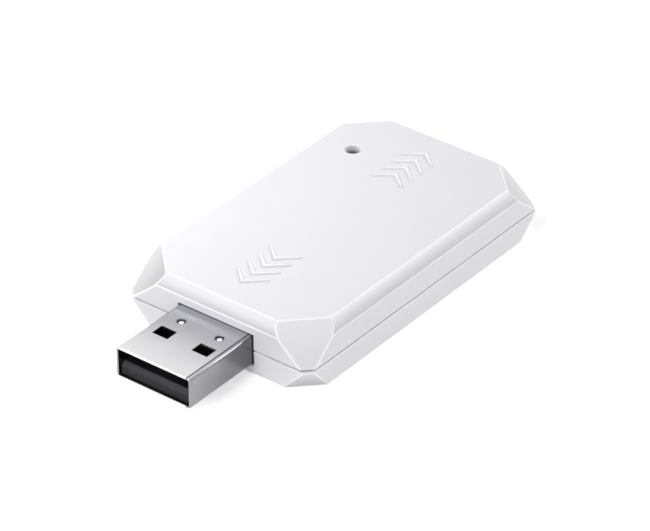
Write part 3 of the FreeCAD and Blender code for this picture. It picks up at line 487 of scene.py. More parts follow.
@dataclass(frozen=True)
class Effect:
    """A node group that several finishes share and that is built once."""

    name: str
    inputs: tuple[str, ...]
    outputs: tuple[str, ...]

    def draw(self, wires: Wiring, position: Socket, *given: Socket) -> tuple[Socket, ...]:
        """Draws the group.

        Args:
            wires: The group's wiring.
            position: Where on the object.
            given: The group's other inputs, in order.

        Returns:
            What goes into its outputs, in order.
        """
        raise NotImplementedError

    def tree(self) -> bpy.types.NodeTree:
        """Finds the group, or builds it.

        Returns:
            The group.
        """
        tree = bpy.data.node_groups.get(self.name)
        if tree is None:
            tree = bpy.data.node_groups.new(self.name, "ShaderNodeTree")
            tree.interface.new_socket("Position", in_out="INPUT", socket_type="NodeSocketVector")
            for way, labels in (("INPUT", self.inputs), ("OUTPUT", self.outputs)):
                for label in labels:
                    tree.interface.new_socket(label, in_out=way, socket_type="NodeSocketFloat")
            wires = Wiring(tree)
            source = tree.nodes.new("NodeGroupInput")
            given = [source.outputs[label] for label in ("Position", *self.inputs)]
            target = tree.nodes.new("NodeGroupOutput")
            for label, result in zip(self.outputs, self.draw(wires, *given)):
                wires.put(target, label, result)
        return tree


@dataclass(frozen=True)
class Grain(Effect):
    """The fine, even grain of a moulded or eroded surface, and a slow mottle."""

    name: str = "fine_grain"
    inputs: tuple[str, ...] = ("Scale",)
    outputs: tuple[str, ...] = ("Height", "Mottle")
    pit_scale: float = 0.55
    pit_width: float = 0.45
    pit_depth: float = 0.35
    mottle_scale: float = 0.03
    mottle_span: Pair = (0.3, 0.7)

    def draw(self, wires: Wiring, position: Socket, *given: Socket) -> tuple[Socket, ...]:
        """Draws the height and the mottle, both about 0 to 1.

        Args:
            wires: The group's wiring.
            position: Where on the object.
            given: The scale.

        Returns:
            The two results.
        """
        scale = given[0]
        fine = wires.add("TexNoise", Vector=position, Scale=scale, Detail=3.0, Roughness=0.62)
        pits = wires.add("TexVoronoi", feature="F1", Vector=position,
                         Scale=wires.times(scale, self.pit_scale))
        dents = wires.spread(pits.outputs["Distance"], 0.0, self.pit_width)
        raised = wires.plus(wires.times(dents, self.pit_depth), 1.0 - self.pit_depth)
        slow = wires.add("TexNoise", Vector=position, Detail=2.0,
                         Scale=wires.times(scale, self.mottle_scale))
        return (wires.times(fine.outputs["Fac"], raised),
                wires.spread(slow.outputs["Fac"], *self.mottle_span))


@dataclass(frozen=True)
class DrawnLines(Effect):
    """Fine lines drawn along Y, with a few deeper scratches."""

    name: str = "drawn_lines"
    inputs: tuple[str, ...] = ("Scale", "Stretch")
    outputs: tuple[str, ...] = ("Height", "Scratches")
    mark_scale: float = 0.4
    mark_span: Pair = (0.66, 0.74)

    def draw(self, wires: Wiring, position: Socket, *given: Socket) -> tuple[Socket, ...]:
        """Draws the lines' height and a mask of the scratches, both about 0 to 1.

        Args:
            wires: The group's wiring.
            position: Where on the object.
            given: The scale, and how far the lines are stretched.

        Returns:
            The two results.
        """
        scale, stretch = given
        x, y, z = wires.parts(position)
        drawn = wires.add("CombineXYZ", X=x, Y=wires.times(y, stretch), Z=z).outputs[0]
        lines = wires.add("TexNoise", Vector=drawn, Scale=scale, Detail=4.0, Roughness=0.7)
        marks = wires.add("TexNoise", Vector=drawn, Detail=2.0, Roughness=0.5,
                          Scale=wires.times(scale, self.mark_scale))
        return lines.outputs["Fac"], wires.spread(marks.outputs["Fac"], *self.mark_span)


class Draft:
    """A material under construction."""

    def __init__(self, name: str) -> None:
        """Starts the material.

        Args:
            name: Its name.
        """
        self.material = bpy.data.materials.new(name)
        self.material.use_nodes = True
        self.wires = Wiring(self.material.node_tree)
        self.shader = self.material.node_tree.nodes["Principled BSDF"]
        self.position = self.wires.add("TexCoord").outputs["Object"]
        self.place = self.wires.parts(self.position)

    def effect(self, effect: Effect, **values: float) -> list[Socket]:
        """Places a shared effect.

        Args:
            effect: The effect.
            values: Its inputs by name.

        Returns:
            Its outputs.
        """
        node = self.wires.tree.nodes.new("ShaderNodeGroup")
        node.node_tree = effect.tree()
        for name, value in {"Position": self.position, **values}.items():
            self.wires.put(node, name, value)
        return list(node.outputs)

    def rough(self, height: Socket, span: Pair) -> Socket:
        """Spreads the middle of a grain's height over a span of roughness."""
        return self.wires.spread(height, *GRAIN_SPAN, *span)

    def lines(self, scale: float, stretch: float, rough: float, streak: float,
              mark: float) -> tuple[Socket, Socket]:
        """Draws lines over a metal.

        Args:
            scale: How fine they are.
            stretch: How short they are against their width.
            rough: The least roughness.
            streak: What a line adds to it.
            mark: What a scratch adds to it.

        Returns:
            The lines' height and the roughness.
        """
        wires = self.wires
        height, scratches = self.effect(DrawnLines(), Scale=scale, Stretch=stretch)
        wear_and_highlight = wires.plus(wires.times(height, streak), wires.times(scratches, mark))
        return height, wires.plus(wear_and_highlight, rough)

    def finish(self, relief: Socket | None = None, bump: Pair = (0.0, 0.0),
               **inputs: object) -> bpy.types.Material:
        """Sets the shader.

        Args:
            relief: The height that the surface is embossed by, about 0 to 1.
            bump: The relief's strength, and its depth in metres.
            inputs: What goes into the shader's inputs, by name.

        Returns:
            The finished material.
        """
        if relief is not None:
            strength, depth = bump
            inputs["Normal"] = self.wires.add("Bump", Strength=strength, Distance=depth,
                                              Height=relief).outputs["Normal"]
        for name, value in inputs.items():
            self.wires.put(self.shader, name.replace("_", " "), value)
        return self.material


class Axis(Enum):
    """A direction in plan, by its number in a position."""

    ACROSS = 0
    ALONG = 1


@dataclass(frozen=True)
class PaintedShadeGrade:
    """A painted shade that changes across the facet of one corner.

    Its corner is where x and y have the signs of side and end. It runs along an axis, from the
    first share at the start to the last share at the stop.
    """

    side: int
    end: int
    axis: Axis
    start: float
    stop: float
    first: float
    last: float

    def mask(self, draft: Draft) -> Socket:
        """Wires the painted shade.

        Args:
            draft: The material.

        Returns:
            How dark each place of the corner is.
        """
        wires = draft.wires
        grade = wires.spread(wires.apart(draft.place[self.axis.value]), self.start, self.stop,
                             self.first, self.last)
        for part, sign in zip(draft.place, (self.side, self.end)):
            grade = wires.times(grade, wires.calc("GREATER_THAN", wires.times(part, sign)))
        return grade


@dataclass(frozen=True)
class PaintedFacetShade:
    """The painted shade of the slanted corner facets, and of the shoulder band between them.

    On a facet, |x| + |y| plus lean times the height is the total. The shares say how dark it is.
    """

    lean: float
    total: float
    low: float
    high: float
    low_share: float
    high_share: float
    band_foot: float = 0.0
    band_top: float = 0.0
    band_share: float = 0.0
    grades: tuple[PaintedShadeGrade, ...] = ()
    fade: Pair = (9e-5, 3e-5)

    def mask(self, draft: Draft) -> Socket:
        """Wires the painted shade.

        Args:
            draft: The material.

        Returns:
            How dark each place is, from 0 to 1.
        """
        wires = draft.wires
        x, y, height = draft.place
        total = wires.plus(wires.plus(wires.apart(x), wires.apart(y)),
                           wires.times(height, self.lean))
        facet = wires.spread(total, *(self.total - depth for depth in self.fade))
        shade = wires.times(facet, wires.spread(height, self.low, self.high, self.low_share,
                                                self.high_share))
        if self.band_share:
            band = wires.times(wires.spread(height, self.band_foot - SOFT, self.band_foot),
                               wires.spread(height, self.band_foot, self.band_top,
                                            self.band_share, 0.0))
            shade = wires.plus(shade, wires.times(band, wires.rest(facet)))
        for grade in self.grades:
            shade = wires.plus(shade, wires.times(facet, grade.mask(draft)))
        return shade


@dataclass(frozen=True)
class PaintedBoreShade:
    """Painted shade in an upright bore: its place, its radius and the height that it darkens
    below.
    """

    x: float
    y: float
    radius: float
    until: float
    fade: float
    rim: float = 5e-5

    def mask(self, draft: Draft) -> Socket:
        """Wires the painted shade.

        Args:
            draft: The material.

        Returns:
            1 in the painted shade of the bore and 0 outside it.
        """
        wires = draft.wires
        x, y, height = draft.place
        away = wires.away(wires.minus(x, self.x), wires.minus(y, self.y))
        return wires.times(wires.below(away, self.radius, self.radius + self.rim),
                           wires.below(height, self.until, self.until + self.fade))


@dataclass(frozen=True)
class MouldedPlastic:
    """A moulded plastic with a fine eroded grain and optional painted shade."""

    name: str
    colour: Colour
    shade: Colour
    rough: Pair = (0.34, 0.4)
    ior: float = 1.5
    grain_scale: float = 7000.0
    grain_bump: Pair = (0.14, 3e-6)
    # The colour that painted shade in a bore and on the facets blends towards
    painted_shade_colour: Colour = (0.03, 0.03, 0.032)
    bore: PaintedBoreShade | None = None
    facets: PaintedFacetShade | None = None
    # The colour and the band of heights of painted shade on flanks
    painted_flank_shade: Colour = (0.64, 0.635, 0.665)
    painted_flank_heights: Pair | None = None

    def material(self) -> bpy.types.Material:
        """Builds the material.

        Returns:
            The material.
        """
        draft = Draft(self.name)
        wires = draft.wires
        height, mottle = draft.effect(Grain(), Scale=self.grain_scale)
        colour = wires.blend(mottle, self.shade, self.colour)
        # Painted shade: the bore's inside and the facets blend towards a dark colour
        for shade in (self.bore, self.facets):
            if shade:
                colour = wires.blend(shade.mask(draft), colour, self.painted_shade_colour)
        # Painted shade on the flanks: a band of heights blends towards a darker colour
        if self.painted_flank_heights:
            sides = wires.inside(draft.place[2], *self.painted_flank_heights, SHARP)
            colour = wires.blend(sides, colour, self.painted_flank_shade)
        return draft.finish(height, self.grain_bump, Base_Color=colour,
                            Roughness=draft.rough(height, self.rough), IOR=self.ior)


@dataclass(frozen=True)
class PlatedSteel:
    """Nickel-plated sheet with drawn lines, with painted shade that darkens it towards the
    housing.

    Painted shade darkens its sides, the line along its right bend, its inside and the rings of its
    dimples, and a painted highlight brightens the dimples' middles.
    """

    name: str
    bright: Colour
    shaded_plate: Colour
    # The colour of painted shade, and of the painted highlight in the dimples' middles
    painted_shade_colour: Colour = (0.012, 0.012, 0.014)
    glint: Colour = (0.98, 0.98, 0.98)
    rough: float = 0.18
    line_streak: float = 0.12
    line_mark: float = 0.015
    line_bump: Pair = (0.2, 2e-6)
    # Painted shade along the plug: from the bright colour to the shaded one, towards the housing
    bright_until: float = -0.0365
    shade_from: float = -0.0262
    wander: float = 0.0006
    # Where painted shade darkens the sides, the right bend, the inside and the dimples' rings, and
    # how much; the core gets the painted highlight
    sides: Pair = (0.0055, 0.0059)
    side_shade: float = 0.59
    bend: Pair = (0.00541, 0.00013)
    bend_shade: float = 0.8
    inside: tuple[float, float, float] = (0.00573, 0.00375, 0.00198)
    inside_shade: float = 0.85
    dimple: Pair = (0.0031, -0.028)
    ring: Pair = (0.0005, 0.00012)
    ring_shade: float = 0.95
    core: Pair = (0.00026, 0.00034)
    soft: float = 6e-5

    def shades(self, draft: Draft, away: Socket) -> Socket:
        """Wires the painted shade.

        Args:
            draft: The material.
            away: The distance from the nearest dimple's middle.

        Returns:
            How dark each place is, from 0 to 1.
        """
        wires = draft.wires
        x, _, height = draft.place
        across = wires.apart(x)
        half_width, middle, half_height = self.inside
        within = wires.times(wires.below(across, half_width - SOFT, half_width + SOFT),
                             wires.inside(height, middle, half_height))
        shade = wires.times(wires.spread(across, *self.sides), self.side_shade)
        for mask, share in ((wires.inside(x, *self.bend, self.soft), self.bend_shade),
                            (within, self.inside_shade),
                            (wires.inside(away, *self.ring, self.soft), self.ring_shade)):
            shade = wires.most(shade, wires.times(mask, share))
        return shade

    def material(self) -> bpy.types.Material:
        """Builds the material.

        Returns:
            The material.
        """
        draft = Draft(self.name)
        wires = draft.wires
        x, y, _ = draft.place
        height, rough = draft.lines(scale=5200.0, stretch=0.012, rough=self.rough,
                                    streak=self.line_streak, mark=self.line_mark)
        _, mottle = draft.effect(Grain(), Scale=9000.0)
        station = wires.plus(y, wires.times(mottle, self.wander))
        # Painted shade: the plate darkens towards the housing
        plate = wires.blend(wires.spread(station, self.bright_until, self.shade_from),
                            self.bright, self.shaded_plate)
        away = wires.away(wires.minus(wires.apart(x), self.dimple[0]),
                          wires.minus(y, self.dimple[1]))
        # Painted shade on the sides, bend, inside and rings, then a painted highlight in the
        # dimples' middles
        tone = wires.blend(self.shades(draft, away), plate, self.painted_shade_colour)
        colour = wires.blend(wires.below(away, *self.core), tone, self.glint)
        return draft.finish(height, self.line_bump, Base_Color=colour, Roughness=rough,
                            Metallic=1.0)


@dataclass(frozen=True)
class SmallPart:
    """A two-terminal part: tinned end caps with a ceramic or moulded body between them."""

    name: str
    axis: Axis
    centre: float
    half: float
    top_height: float
    body: Colour
    shade: Colour
    top: Colour
    stripe: float = 0.0
    stripe_tone: float = 0.45
    tin: Colour = (0.62, 0.61, 0.58)
    cap_share: float = 0.2
    top_half: float = 5e-5
    rough: Pair = (0.3, 0.45)
    bump: Pair = (0.25, 4e-6)

    def material(self) -> bpy.types.Material:
        """Builds the material.

        Returns:
            The material.
        """
        draft = Draft(self.name)
        wires = draft.wires
        height, mottle = draft.effect(Grain(), Scale=16000.0)
        along = draft.place[self.axis.value]
        above = wires.inside(draft.place[2], self.top_height, self.top_half, SHARP)
        body = wires.blend(above, wires.blend(mottle, self.shade, self.body), self.top)
        if self.stripe:
            mark = wires.inside(along, self.centre + self.half / 2, self.stripe)
            body = wires.blend(mark, body, toned(self.body, self.stripe_tone))
        caps = wires.rest(wires.inside(along, self.centre, self.half * (1 - 2 * self.cap_share)))
        return draft.finish(height, self.bump, Base_Color=wires.blend(caps, body, self.tin),
                            Metallic=caps, Roughness=draft.rough(height, self.rough))


@dataclass(frozen=True)
class MouldedChip:
    """A black moulded chip with tinned leads on its two long sides."""

    name: str
    centre: float
    half: float
    mould: Colour = (0.022, 0.022, 0.024)
    mould_shade: Colour = (0.015, 0.015, 0.017)
    mould_soft: float = 3e-5
    tin: Colour = (0.6, 0.6, 0.58)
    rough: Pair = (0.45, 0.62)
    lead_gloss: float = 0.2
    bump: Pair = (0.4, 8e-6)

    def material(self) -> bpy.types.Material:
        """Builds the material.

        Returns:
            The material.
        """
        draft = Draft(self.name)
        wires = draft.wires
        height, mottle = draft.effect(Grain(), Scale=20000.0)
        mould = wires.inside(draft.place[1], self.centre, self.half, self.mould_soft)
        leads = wires.rest(mould)
        colour = wires.blend(leads, wires.blend(mottle, self.mould_shade, self.mould), self.tin)
        rough = wires.minus(draft.rough(height, self.rough), wires.times(leads, self.lead_gloss))
        return draft.finish(height, self.bump, Base_Color=colour, Metallic=leads, Roughness=rough)


@dataclass(frozen=True)
class BoardLaminate:
    """A circuit board: lacquered copper lines and plated holes on glass laminate."""

    name: str
    lacquer: Colour
    line: Colour
    middle: float
    half_height: float
    pads: bool = False
    laminate: Colour = (0.46, 0.4, 0.2)
    plating: Colour = (0.78, 0.55, 0.24)
    # The colour of painted shade in the holes' bores
    painted_shade_colour: Colour = (0.01, 0.01, 0.01)
    rough: Pair = (0.24, 0.36)
    edge_rough: float = 0.4
    bump: Pair = (0.5, 3e-5)
    line_pitch: float = 0.0013
    zone_span: Pair = (0.47, 0.5)
    hole_pitch: float = 0.0034
    ring: Pair = (0.085, 0.095)
    bore: Pair = (0.04, 0.048)
    pad_sides: Pair = (-0.0055, 0.0122)
    pad_half: float = 0.0011
    pad_first: float = 0.0045
    pad_last: float = 0.0183
    pad_end: float = 0.0006
    pad_pitch: float = 0.0019
    pad_share: Pair = (0.29, 0.32)

    def lines(self, draft: Draft, turn: float) -> Socket:
        """Draws thin lines at right angles, as copper runs under lacquer.

        Args:
            draft: The material.
            turn: How far they are turned, in radians.

        Returns:
            1 on a line and 0 beside it.
        """
        wires = draft.wires
        placed = wires.add("Mapping", Rotation=(0, 0, turn), Vector=draft.position).outputs[0]
        bricks = wires.add("TexBrick", offset=0.37, squash=1.6, squash_frequency=3,
                           Vector=placed, Scale=0.5 / self.line_pitch, Mortar_Size=0.035,
                           Mortar_Smooth=0.15, Brick_Width=1.7, Row_Height=0.5)
        return bricks.outputs["Fac"]

    def pad_mask(self, draft: Draft) -> Socket:
        """Masks the plated pads round the solder notches.

        Args:
            draft: The material.

        Returns:
            1 on a pad and 0 beside it.
        """
        wires = draft.wires
        x, y, _ = draft.place
        sides = wires.most(*(wires.inside(x, side, self.pad_half) for side in self.pad_sides))
        place = wires.calc("DIVIDE", wires.minus(y, self.pad_first), self.pad_pitch)
        apart = wires.calc("ABSOLUTE", wires.minus(place, wires.calc("ROUND", place)))
        reach = wires.inside(y, (self.pad_first + self.pad_last) / 2,
                             (self.pad_last - self.pad_first) / 2 + self.pad_end)
        return wires.times(wires.times(sides, wires.below(apart, *self.pad_share)), reach)

    def plating_masks(self, draft: Draft) -> tuple[Socket, Socket]:
        """Masks the scattered holes.

        Args:
            draft: The material.

        Returns:
            What is plated, and the holes' bores.
        """
        wires = draft.wires
        holes = wires.add("TexVoronoi", feature="F1", voronoi_dimensions="2D",
                          Vector=draft.position, Scale=1 / self.hole_pitch, Randomness=0.75)
        ring, bore = (wires.below(holes.outputs["Distance"], *span)
                      for span in (self.ring, self.bore))
        plated = wires.minus(ring, bore)
        return (wires.most(plated, self.pad_mask(draft)) if self.pads else plated), bore

    def material(self) -> bpy.types.Material:
        """Builds the material.

        Returns:
            The material.
        """
        draft = Draft(self.name)
        wires = draft.wires
        height, _ = draft.effect(Grain(), Scale=9000.0)
        zones = wires.add("TexNoise", Vector=draft.position, Scale=170.0, Detail=1.0)
        zone = wires.spread(zones.outputs["Fac"], *self.zone_span)
        copper = wires.plus(wires.times(self.lines(draft, 0.0), zone),
                            wires.times(self.lines(draft, math.pi / 2), wires.rest(zone)))
        plated, bore = self.plating_masks(draft)
        lacquer = wires.blend(copper, self.lacquer, self.line)
        # The holes' bores are painted shade
        face = wires.blend(plated, wires.blend(bore, lacquer, self.painted_shade_colour), self.plating)
        edge = wires.inside(draft.place[2], self.middle, self.half_height, SHARP)
        rough = wires.plus(draft.rough(height, self.rough), wires.times(edge, self.edge_rough))
        return draft.finish(wires.plus(copper, plated), self.bump,
                            Base_Color=wires.blend(edge, face, self.laminate),
                            Metallic=wires.times(plated, wires.rest(edge)), Roughness=rough)


@dataclass(frozen=True)
class SheetMetal:
    """Tinned or gilt sheet with faint drawn lines and handling marks."""

    name: str
    colour: Colour
    shade: Colour
    rough: float
    line_streak: float = 0.14
    line_mark: float = 0.1
    line_bump: Pair = (0.2, 2e-6)

    def material(self) -> bpy.types.Material:
        """Builds the material.

        Returns:
            The material.
        """
        draft = Draft(self.name)
        height, rough = draft.lines(scale=7000.0, stretch=0.05, rough=self.rough,
                                    streak=self.line_streak, mark=self.line_mark)
        _, mottle = draft.effect(Grain(), Scale=5000.0)
        return draft.finish(height, self.line_bump, Roughness=rough, Metallic=1.0,
                            Base_Color=draft.wires.blend(mottle, self.shade, self.colour))


@dataclass(frozen=True)
class LampLens:
    """The lamp: a smoky clear lid on a pale ceramic base with gilt ends."""

    name: str
    lens: Colour
    base: Colour
    lid_foot: float
    centre: float
    half: float
    gilt: Colour = (0.78, 0.56, 0.25)
    mottle_tone: float = 0.85
    rough: Pair = (0.18, 0.28)

    def material(self) -> bpy.types.Material:
        """Builds the material.

        Returns:
            The material.
        """
        draft = Draft(self.name)
        wires = draft.wires
        x, _, z = draft.place
        height, mottle = draft.effect(Grain(), Scale=12000.0)
        lid = wires.spread(z, self.lid_foot - SOFT, self.lid_foot + SOFT)
        ends = wires.times(wires.rest(wires.inside(x, self.centre, self.half)), wires.rest(lid))
        smoke = wires.blend(mottle, toned(self.lens, self.mottle_tone), self.lens)
        colour = wires.blend(lid, wires.blend(ends, self.base, self.gilt), smoke)
        return draft.finish(Base_Color=colour, Metallic=ends, Coat_Weight=0.5,
                            Roughness=draft.rough(height, self.rough))


@dataclass(frozen=True)
class StudioFloor:
    """The pale floor, white to the eye beyond the object's shadow."""

    name: str
    colour: Colour
    speckle: Colour
    lift: float

    def material(self) -> bpy.types.Material:
        """Builds the material.

        Returns:
            The material.
        """
        draft = Draft(self.name)
        wires = draft.wires
        noise = wires.add("TexNoise", Vector=draft.position, Scale=900.0, Detail=3.0)
        return draft.finish(
            Base_Color=wires.blend(noise.outputs["Fac"], self.colour, self.speckle),
            Roughness=0.9, Specular_IOR_Level=0.1, Emission_Color=(1.0, 1.0, 1.0),
            Emission_Strength=wires.times(wires.seen(), self.lift))


# The stick's own pieces


@dataclass
class Housing:
    """Sizes and forms that the two covers share, in millimetres."""

    turn: int = 1
    half_width: float = 15.0
    half_length: float = 25.0
    seam: float = 3.75
    seam_gap: float = 0.26
    wall: float = 1.4
    cavity_draft: float = 0.1
    cavity_sum: float = 35.917
    corner_sum: float = 38.85
    lip_rise: float = 0.8
    lip_width: float = 0.55
    lip_clearance: float = 0.1
    plug_half_width: float = 6.15
    plug_low: float = 1.4
    plug_high: float = 6.1
    plug_support: Pair = (-23.8, -18.5)
    board_top: float = 3.5
    board_bottom: float = 2.5
    post_side: float = 10.8
    post_radius: float = 1.2
    pinned_posts: Pair = (-16.5, 0.7)
    flat_angle: float = 9.0
    edge_round: float = 0.35
    rim_round: float = 0.1
    sunk: float = 0.3
    past: float = 1.0

    @property
    def rim(self) -> float:
        """The height of the rim that faces the other cover."""
        return self.seam + self.turn * self.seam_gap / 2

    @property
    def skin(self) -> float:
        """The wall that stays outside the lap joint."""
        return self.wall - self.lip_width - self.lip_clearance

    @property
    def lip_top(self) -> float:
        """The height of the lap joint's lip."""
        return self.seam + self.lip_rise

    def rounds(self) -> dict[float, float]:
        """The radii of the level edges, by their height."""
        return {self.rim: self.rim_round}

    def edge_radius(self, edge: Edge) -> float:
        """The radius that an edge of the outside gets, in millimetres."""
        if steepness(edge) < self.flat_angle:
            return 0.0
        return next((radius for height, radius in self.rounds().items()
                     if level_at(edge, height)), self.edge_round)

    def slab(self, inset: float, low: float, high: float) -> Form:
        """A block with the housing's plan, made smaller by an inset."""
        return Form.block((inset - self.half_width, inset - self.half_length, low),
                          (self.half_width - inset, self.half_length - inset, high))

    def trim_sides(self, form: Form, point: Pair, outward: Pair) -> None:
        """Cuts all four sides by the same profile plane.

        Args:
            form: The form that is cut.
            point: The inset from the full size, and the height, of a point of the plane.
            outward: The outward and upward parts of the plane's normal.
        """
        inset, height = point
        out, up = outward
        for sign in (1, -1):
            form.trim((sign * (self.half_width - inset), 0, height), (sign * out, 0, up))
            form.trim((0, sign * (self.half_length - inset), height), (0, sign * out, up))

    def octagon(self, inset: float, total: float, low: float, high: float) -> Form:
        """Makes an upright prism like the housing's plan.

        Args:
            inset: How far its sides lie inside the housing's.
            total: |x| + |y| at its corners.
            low: The height of its foot.
            high: The height of its top.

        Returns:
            The prism.
        """
        form = self.slab(inset, low, high)
        form.trim_corners(total, low, 0.0)
        return form

    def cavity(self, closed: float, closed_sum: float) -> Form:
        """Makes the cavity, which widens from its closed end to the rim.

        Args:
            closed: The height of its closed end.
            closed_sum: |x| + |y| at that end's corners.

        Returns:
            The cavity, which goes on past the rim.
        """
        depth = closed - self.rim + self.turn * self.past
        form = self.slab(self.wall, *sorted((closed, closed - depth)))
        self.trim_sides(form, (self.wall + self.cavity_draft, closed),
                        (abs(depth), self.turn * self.cavity_draft))
        form.trim_corners(closed_sum, closed, (self.cavity_sum - closed_sum) / (closed - self.rim))
        return form

    def aperture(self, low: float, high: float) -> Form:
        """The form that opens the front wall for the plug, from one height to another."""
        return Form.block(
            (-self.plug_half_width, -self.half_length - self.past, low),
            (self.plug_half_width, self.wall + self.sunk - self.half_length, high))

    def posts(self, *stations: float) -> list[Pair]:
        """The places of the pairs of posts at these stations."""
        return [(side, y) for y in stations for side in (self.post_side, -self.post_side)]


@dataclass
class Chevron:
    """A soft raised chevron, in millimetres. The ends of its arms are thinner and lower."""

    half_width: float = 2.7
    width: float = 1.45
    tip: float = 0.55
    glossy_highlight_from: float = 0.2
    arm: tuple[float, ...] = (0.0, 0.25, 0.5, 0.75)
    ends: tuple[Point, ...] = ((0.92, 1.15, 0.8), (1.0, 0.5, 0.02))
    section: tuple[Pair, ...] = ((0.0, -0.06), (0.0, 0.0), (0.04, 0.006), (0.11, 0.05),
                                 (0.18, 0.13), (0.25, 0.185), (0.34, 0.208), (0.5, 0.214))

    def places(self, apex: float) -> list[Matrix]:
        """Places the section along an arm.

        Args:
            apex: Where the apex is, along Y.

        Returns:
            The section's place, width and height at each station.
        """
        stations = [(share, self.width + (self.tip - self.width) * share, 1.0)
                    for share in self.arm]
        stations += [(share, self.tip * part, tall) for share, part, tall in self.ends]
        places = []
        for share, width, tall in stations:
            across = self.half_width * share
            middle = (self.width * (1 - share) + self.tip * share) / 2
            places.append(Matrix.Translation((across, apex - across - middle, 0))
                          @ Matrix.Diagonal((1, width, tall, 1)))
        return places

    def draw(self, form: Form, apex: float) -> None:
        """Draws one arm out of its section, with a glossy, painted-highlight crest, and closes its
        end.

        Args:
            form: The form that it goes into.
            apex: Where the apex is, along Y.
        """
        section = [*self.section, *((1 - share, height)
                                    for share, height in reversed(self.section[:-1]))]
        verts = [form.bm.verts.new((0, share - 0.5, height)) for share, height in section]
        loop = [form.bm.edges.new(pair) for pair in zip(verts, verts[1:] + verts[:1])]
        fore = Matrix.Identity(4)
        for count, place in enumerate(self.places(apex)):
            if count:
                crest = {edge for edge in loop
                         if min(vert.co.z for vert in edge.verts) > self.glossy_highlight_from}
                made = bmesh.ops.extrude_edge_only(form.bm, edges=loop)["geom"]
                for face in picked(made, bmesh.types.BMFace):
                    # Crest faces take the second material: glossier, and lighter as a painted
                    # highlight
                    face.material_index = int(any(edge in crest for edge in face.edges))
                verts = picked(made, bmesh.types.BMVert)
                fresh = set(verts)
                loop = [edge for edge in picked(made, Edge)
                        if all(vert in fresh for vert in edge.verts)]
            bmesh.ops.transform(form.bm, matrix=place @ fore.inverted(), verts=verts)
            fore = place
        bmesh.ops.edgeloop_fill(form.bm, edges=loop)

    def form(self, apex: float, height: float, front: bool) -> Form:
        """Makes the chevron.

        Args:
            apex: How far its apex is from the cover's middle.
            height: The height of the face that it stands on.
            front: Whether it points to the plug.

        Returns:
            The chevron, with its foot sunk in the face.
        """
        form = Form()
        self.draw(form, apex)
        bmesh.ops.mirror(form.bm, geom=form.everything, axis="X", merge_dist=LEVEL)
        bmesh.ops.translate(form.bm, vec=(0, 0, height), verts=form.bm.verts)
        if front:
            bmesh.ops.scale(form.bm, vec=(1, -1, 1), verts=form.bm.verts)
        form.merge()
        form.face_out()
        return form


